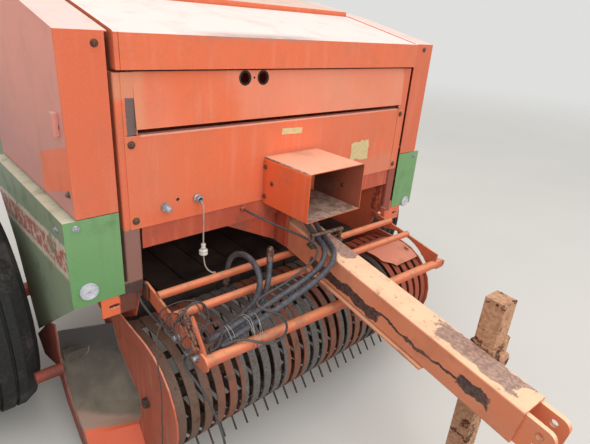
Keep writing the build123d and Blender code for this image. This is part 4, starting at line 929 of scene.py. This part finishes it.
studLook = dict(
    stud=(-0.534, 0, 0.940), collar=(-0.420, 0, 0.948), turns=11, lead=0.0018,
    flange=[(0, -0.009), (0.0148, -0.009), (0.0148, -0.0005), (0, -0.0005)],
    washer=[(0, 0.0003), (0.0148, 0.0003), (0.0148, 0.0022), (0, 0.0022)],
    nut=[(0, 0.0022), (0.0128, 0.0022), (0.0134, 0.0035), (0.0134, 0.0125), (0.0122, 0.014), (0, 0.014)],
    ring=[(0.006, -0.009), (0.0148, -0.009), (0.0148, -0.0005), (0.006, -0.0005)],
    bell=[(0.006, 0.0003), (0.0148, 0.0003), (0.0150, 0.0020), (0.0146, 0.0055), (0.0118, 0.0070),
          (0.0108, 0.0170), (0.0112, 0.0200), (0.0100, 0.0219), (0.0075, 0.0219), (0.0060, 0.0200),
          (0.0060, 0.0003)],
)


def makeTwineGuides(look):                     # a threaded stud with its nut, and the collar of the twine
    shape = Shape()
    stud = toward(look["stud"], toFront)
    shape.lathe(stud, look["flange"], 24)
    shape.lathe(stud, look["washer"], 24)
    shape.lathe(stud, look["nut"], 6, 0.4)
    start = look["nut"][-1][1]
    thread = [(0, start)]
    for k in range(look["turns"]):
        h = start + k * look["lead"]
        thread += [(0.0068, h), (0.0078, h + look["lead"] / 2)]
    end = start + look["turns"] * look["lead"]
    thread += [(0.0066, end - 0.0002), (0, end + 0.0002)]
    shape.lathe(stud, thread, 20)
    collar = toward(look["collar"], toFront)
    shape.lathe(collar, look["ring"], 28)
    shape.lathe(collar, look["bell"], 28)
    piece = shape.piece("twine_stud_and_collar", "root", "worn_steel", "zinc")
    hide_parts("twine_guides")


shaftLook = dict(
    place=(-0.013, 0, 0.962), splines=6,
    stations=((-0.039, 0.022, 0.022), (0.0239, 0.022, 0.022), (0.0241, 0.0174, 0.0148),
              (0.078, 0.0174, 0.0148), (0.0785, 0.0148, 0.0146), (0.0845, 0.0148, 0.0146),
              (0.085, 0.0174, 0.0148), (0.0975, 0.0174, 0.0148),
              (0.100, 0.0150, 0.0140)),        # height, radius on the splines, radius between them
)


def makePtoShaft(look):                        # six splines, a lock groove and a chamfered tip
    shape = Shape()
    place = toward(look["place"], toFront)
    count = look["splines"] * 8
    loops = []
    for height, outer, root in look["stations"]:
        loop = []
        for k in range(count):
            angle = math.tau * k / count
            r = outer if (k % 8) in (0, 1, 2, 3, 7) else root
            point = Vector((r * math.cos(angle), r * math.sin(angle), height))
            loop.append(shape.mesh.verts.new(place @ point))
        loops.append(loop)
    shape.skin(loops)
    piece = shape.piece("pto_spline", "pto_stub", "shaft_steel", "shaft", 25)
    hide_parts("pto_stub")


gearboxLook = dict(
    columns=(-0.075, 0.049), rows=(0.920, 1.022), face=0.022, across=0.017, height=0.008,
    seal=[(0.023, 0.0), (0.036, 0.0), (0.037, 0.0015), (0.030, 0.003), (0.0235, 0.003), (0.023, 0.0)],
    sealPlace=(-0.013, -0.024, 0.962),
)


def makeGearboxBolts(look):
    shape = Shape()
    for x in look["columns"]:
        for z in look["rows"]:
            shape.hexHead(toward((x, look["face"], z), toFront), look["across"], look["height"])
    shape.lathe(toward(look["sealPlace"], toFront), look["seal"], 32)
    shape.piece("gearbox_fasteners", "root", "gearbox_iron", "iron")


def onFront(proud):                            # a plane on the front panels, x across and y up
    return Matrix.Translation(at(0, -proud, 0)) @ Matrix.Rotation(math.radians(90), 4, "X")


plateLook = dict(
    proud=0.0004, thickness=0.0010, chamfer=0.0002,
    torn=((0.317, 0.972), (0.342, 0.968), (0.352, 0.976), (0.388, 0.966), (0.436, 0.966), (0.431, 1.012),
          (0.436, 1.020), (0.428, 1.052), (0.396, 1.049), (0.384, 1.055), (0.372, 1.046), (0.336, 1.049),
          (0.318, 1.042), (0.322, 1.01)),
    small=((-0.072, 1.122), (0.026, 1.118), (0.028, 1.140), (-0.070, 1.144)),
)


def makePlates(look):                          # blank plates on the front, the large one torn
    shape = Shape()
    for outline in (look["torn"], look["small"]):
        shape.slab(onFront(look["proud"]), outline, look["thickness"], look["chamfer"])
    shape.piece("front_blank_plates", "root", "pale_plastic", "plate")


edgeLook = dict(
    proud=0.0001, thickness=0.0016, chamfer=0.0003, outer=0.648,
    strips=(("lower", 0.6135, 0.889, 1.171, "lower"), ("upper", 0.608, 1.174, 1.343, "post")),
)


def makePanelEdges(look):                      # the front sheets lap a little over the posts
    for sign, side in ((-1, "right"), (1, "left")):
        for name, inner, low, high, finish in look["strips"]:
            x0, x1 = sorted((sign * inner, sign * look["outer"]))
            shape = Shape()
            outline = ((x0, low), (x1, low), (x1, high), (x0, high))
            shape.slab(onFront(look["proud"]), outline, look["thickness"], look["chamfer"])
            shape.piece(name + "_panel_edge_" + side, "root", "panel_paint", finish)


grommetLook = dict(
    places=((-0.241, 1.320), (-0.168, 1.320)), proud=0.0003,
    ring=[(0.0176, 0), (0.0238, 0), (0.0238, 0.0020), (0.0225, 0.0034), (0.0190, 0.0034), (0.0176, 0.0018),
          (0.0176, 0)],
)


def makeGrommets(look):                        # dark rubber rings in the upper panel's two ports
    shape = Shape()
    for x, z in look["places"]:
        shape.lathe(toward((x, -look["proud"], z), toFront), look["ring"], 28)
    shape.piece("port_grommets", "root", "hose_rubber", "tyre")


hoodEndLook = dict(
    starts={"right": -0.6635, "left": 0.6500}, width=0.0135, chamfer=0.002,
    profile=((-0.016, 1.350), (-0.016, 1.442), (-0.010, 1.4465), (0.396, 1.5358), (0.396, 1.506),
             (0.020, 1.4225), (0.012, 1.350)),
)


def makeHoodEnds(look):                        # folded ends of the hood, drawn in y and z
    turned = Matrix(((0, 0, 1, 0), (1, 0, 0, 0), (0, 1, 0, 0), (0, 0, 0, 1)))
    for side, start in look["starts"].items():
        shape = Shape()
        place = Matrix.Translation(at(start, 0, 0)) @ turned
        shape.slab(place, look["profile"], look["width"], look["chamfer"])
        shape.piece("hood_end_" + side, "hood", "panel_paint", "hood")


reflectorLook = dict(places=((-0.787, 0.727), (0.787, 0.694)), radius=0.027, proud=0.0002, deep=0.0055)


def makeReflectors(look):                      # a ribbed round lens in a thin rim, with one screw
    shape = Shape()
    screws = Shape()
    r = look["radius"]
    for x, z in look["places"]:
        place = toward((x, -look["proud"], z), toFront)
        rim = [(r * 0.96, 0.0068), (r * 0.90, 0.0068), (r * 0.88, 0.0056)]
        profile = [(0, 0), (r, 0), (r, look["deep"])] + rim
        for step in range(7):
            inner = r * (0.86 - step * 0.11)
            profile += [(inner, 0.0060), (inner - r * 0.05, 0.0054)]
        shape.lathe(place, profile + [(0, 0.0056)], 36)
        screws.domeHead(toward((x, -look["proud"] - look["deep"], z), toFront), 0.0036, 0.0022)
    piece = shape.piece("reflector_lenses", "root", "reflector", "lens")
    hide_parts("front_reflectors")
    screws.piece("reflector_screws", "root", "worn_steel", "zinc")


chainLook = dict(start=(-0.590, -0.200, 0.672), end=(-0.602, -0.292, 0.626), links=5, half=0.0095,
                 reach=0.019, straight=0.003, wire=0.0046)
leverLook = dict(
    foot=(-0.590, -0.326, 0.598), top=(-0.609, -0.287, 0.722), thickness=0.006, chamfer=0.001,
    outline=((-0.0055, 0), (0.0055, 0), (0.006, 0.02), (0.0055, 0.130), (0.003, 0.136), (-0.003, 0.136),
             (-0.0055, 0.130), (-0.006, 0.02)),
)


def makeChain(look):                           # worn chain laid over the strap
    shape = Shape()
    start, end = Vector(look["start"]), Vector(look["end"])
    for k in range(look["links"]):
        middle = start.lerp(end, k / (look["links"] - 1))
        turn = toward(middle, end - start) @ Matrix.Rotation(math.radians(90 * (k % 2) + 20), 4, "Z")
        points = []
        for j in range(24):
            t = math.tau * j / 24
            rise = look["reach"] * math.sin(t) + look["straight"] * math.copysign(1, math.sin(t))
            points.append(turn @ Vector((look["half"] * math.cos(t), 0, rise)))
        shape.tube(points, look["wire"], 8, closed=True)
    shape.piece("strap_chain", "root", "worn_steel", "stub")


def makeLever(look):                           # flat lever beside the chain
    shape = Shape()
    foot, top = Vector(look["foot"]), Vector(look["top"])
    place = toward(foot, top - foot) @ Matrix.Rotation(math.radians(90), 4, "X")
    shape.slab(place, look["outline"], look["thickness"], look["chamfer"])
    shape.piece("strap_lever", "root", "tube_paint", "tube")


tieLook = dict(
    outer=(-0.402, -0.412, -0.424, -0.431), inner=(-0.486, -0.494), outerWire=0.0009, innerWire=0.0010,
    outerLine=((-0.349, 0.578), (-0.326, 0.553), (-0.302, 0.570), (-0.268, 0.630), (-0.276, 0.655),
               (-0.312, 0.654), (-0.338, 0.622)),
    innerLine=((-0.316, 0.600), (-0.302, 0.587), (-0.284, 0.606), (-0.267, 0.622), (-0.276, 0.640),
               (-0.300, 0.628), (-0.314, 0.614)),
)


def makeTies(look):                            # pale wire round the hoses and the low tube
    shape = Shape()
    rng = random.Random(5)
    for x in look["outer"]:
        points = []
        lean = rng.uniform(-0.012, 0.012)
        for y, z in look["outerLine"]:
            wobble = rng.uniform(-0.003, 0.003)
            points.append(at(x + lean * (z - 0.6) * 20 + wobble, y + wobble, z))
        shape.tube(smoothLoop(points), look["outerWire"], 6, closed=True)
    for x in look["inner"]:
        points = [at(x + rng.uniform(-0.003, 0.003), y, z) for y, z in look["innerLine"]]
        shape.tube(smoothLoop(points), look["innerWire"], 6, closed=True)
    shape.piece("hose_ties", "root", "worn_steel", "wire")


reelLook = dict(y=-0.095, z=0.305, ring=0.120, phase=35, bars=4, pitch=0.048, gaps=27, coil=0.0212,
                wire=0.0026, length=0.040, turns=6)


def makeSprings(look):                         # the coils that the tines spring from
    shape = Shape()
    for bar in range(look["bars"]):
        angle = math.radians(look["phase"] + 360 * bar / look["bars"])
        y, z = look["y"] + look["ring"] * math.cos(angle), look["z"] + look["ring"] * math.sin(angle)
        for pair in range(look["gaps"] // 2):
            x = (2 * pair + 0.5 - (look["gaps"] - 1) / 2) * look["pitch"]
            points = []
            steps = look["turns"] * 10
            for k in range(steps + 1):
                t = math.tau * look["turns"] * k / steps
                cx = x + (k / steps - 0.5) * look["length"]
                points.append(at(cx, y + look["coil"] * math.cos(t), z + look["coil"] * math.sin(t)))
            shape.tube(points, look["wire"], 5)
    shape.piece("tine_springs", "tine_reel", "worn_steel", "reel")


guideLook = dict(
    middle=(-0.080, 0.330), radius=0.2075, thick=0.003, left=0.665, bolt=110, boltX=0.64, steps=36,
    angles=(62, 90, 110, 126), right=(0.47, 0.43, 0.44, 0.50),
)


def makeBandGuide(look):                       # a curved sheet over the bands at their left end
    shape = Shape()
    cy, cz = look["middle"]
    inner, outer = look["radius"], look["radius"] + look["thick"]
    loops = []
    for k in range(look["steps"] + 1):
        t = k / look["steps"] * (len(look["angles"]) - 1)
        j = min(int(t), len(look["angles"]) - 2)
        angle = math.radians(look["angles"][j] + (look["angles"][j + 1] - look["angles"][j]) * (t - j))
        ease = (1 - math.cos(math.pi * (t - j))) / 2
        near = look["right"][j] + (look["right"][j + 1] - look["right"][j]) * ease
        loop = []
        for x, r in ((near, inner), (near, outer), (look["left"], outer), (look["left"], inner)):
            loop.append(shape.mesh.verts.new(at(x, cy + r * math.cos(angle), cz + r * math.sin(angle))))
        loops.append(loop)
    shape.skin(loops)
    angle = math.radians(look["bolt"])
    out = Vector((0, math.cos(angle), math.sin(angle)))
    shape.hexHead(toward(Vector((look["boltX"], cy, cz)) + out * outer, out), 0.017, 0.008)
    shape.piece("band_guide", "pickup", "panel_paint", "side")


tangleLook = dict(wire=0.0016, wander=0.008, turns=2, rounds=(
    ((-0.620, -0.185, 0.672), (-0.585, -0.200, 0.660), (-0.570, -0.230, 0.620), (-0.600, -0.260, 0.600),
     (-0.626, -0.250, 0.610)),
    ((-0.624, -0.120, 0.650), (-0.560, -0.150, 0.690), (-0.520, -0.190, 0.660), (-0.560, -0.200, 0.610),
     (-0.618, -0.180, 0.600)),
    ((-0.622, -0.215, 0.650), (-0.592, -0.240, 0.680), (-0.560, -0.290, 0.640), (-0.575, -0.320, 0.595),
     (-0.620, -0.290, 0.590)),
    ((-0.622, -0.140, 0.650), (-0.590, -0.150, 0.660), (-0.575, -0.170, 0.630), (-0.600, -0.180, 0.605),
     (-0.630, -0.165, 0.615)),
    ((-0.620, -0.250, 0.620), (-0.560, -0.240, 0.640), (-0.500, -0.260, 0.650), (-0.540, -0.300, 0.610),
     (-0.610, -0.300, 0.590)),
))


def makeTangle(look):                          # thin wires wound round the strap and the first tubes
    shape = Shape()
    rng = random.Random(11)
    wander = look["wander"]
    for line in look["rounds"]:
        for _ in range(look["turns"]):
            points = [at(*(c + rng.uniform(-wander, wander) for c in point)) for point in line]
            shape.tube(smoothLoop(points, 8), look["wire"], 6, closed=True)
    shape.piece("strap_wires", "root", "twine_fibre", "string")


makeBandGuide(guideLook)
makeTangle(tangleLook)
makeTwineGuides(studLook)
makePtoShaft(shaftLook)
makeGearboxBolts(gearboxLook)
makePlates(plateLook)
makePanelEdges(edgeLook)
makeGrommets(grommetLook)
makeHoodEnds(hoodEndLook)
makeReflectors(reflectorLook)
makeChain(chainLook)
makeLever(leverLook)
makeTies(tieLook)
makeSprings(reelLook)
print("pieces done")


# floor, backdrop and light
floorLook = dict(half=30, drop=0.0005, clear=(16.0, 3.5), shown=tone(128, 122, 112),
                 pale=tone(214, 212, 206), second=tone(222, 220, 214))


def makeStage(look):
    data = bpy.data.meshes.new("floor")
    mesh = bmesh.new()
    bmesh.ops.create_grid(mesh, x_segments=8, y_segments=8, size=look["half"])
    mesh.to_mesh(data)
    mesh.free()
    floor = addObject("floor", data)
    floor.location.z = -look["drop"]
    pale = Finish("floor_pale", rough=0.9, Specular_IOR_Level=0.1)
    away = pale.node("VectorMath", {"operation": "LENGTH"}, {0: pale.place}, "Value")
    pale.tree.links.new(pale.rise(away, *look["clear"]).socket, pale.shader.inputs["Alpha"])
    direct = pale.node("LightPath", out="Is Camera Ray")
    glossy = pale.node("LightPath", out="Is Glossy Ray")
    ground = pale.mix(pale.noise(0.8, 4), look["pale"], look["second"])
    pale.close(pale.mix(pale.most(direct, glossy), look["shown"], ground))
    data.materials.append(pale.material)


worldLook = dict(top=(1.0, 0.99, 0.98, 1), side=(0.86, 0.86, 0.86, 1), shown=(0.74, 0.74, 0.73, 1),
                 strength=0.84)


def makeWorld(look):
    world = bpy.data.worlds.new("world")
    scene.world = world
    world.use_nodes = True
    sky = Graph(world.node_tree)
    x, y, z = sky.split(sky.node("TexCoord", out="Generated"))
    dome = sky.node("ValToRGB", {"stops": ((0.0, look["side"]), (1.0, look["top"]))}, {0: z}, "Color")
    light = sky.node("Background", values={"Color": dome, "Strength": look["strength"]})
    shown = sky.node("Background", values={"Color": look["shown"], "Strength": 1.0})
    seen = sky.node("LightPath", out="Is Camera Ray")
    for ray in ("Is Glossy Ray", "Is Transmission Ray"):
        seen = sky.most(seen, sky.node("LightPath", out=ray))
    both = sky.node("MixShader", values={0: seen, 1: light, 2: shown})
    sky.tree.links.new(both.socket, sky.tree.nodes["World Output"].inputs["Surface"])


lampLooks = {
    "overhead": dict(place=(0.0, -0.5, 6.0), toward=(0, 0.2, 0.8), size=6.0, power=90),
    "front": dict(place=(-1.5, -6.0, 3.4), toward=(0, 0, 0.9), size=4.5, power=160),
}


def makeLamps():
    for name, look in lampLooks.items():
        data = bpy.data.lights.new(name, "AREA")
        data.shape = "DISK"
        data.size = look["size"]
        data.energy = look["power"]
        lamp = addObject(name, data)
        lamp.matrix_world = toward(look["place"], at(*look["place"]) - at(*look["toward"]))


makeStage(floorLook)
makeWorld(worldLook)
makeLamps()
print("stage done")
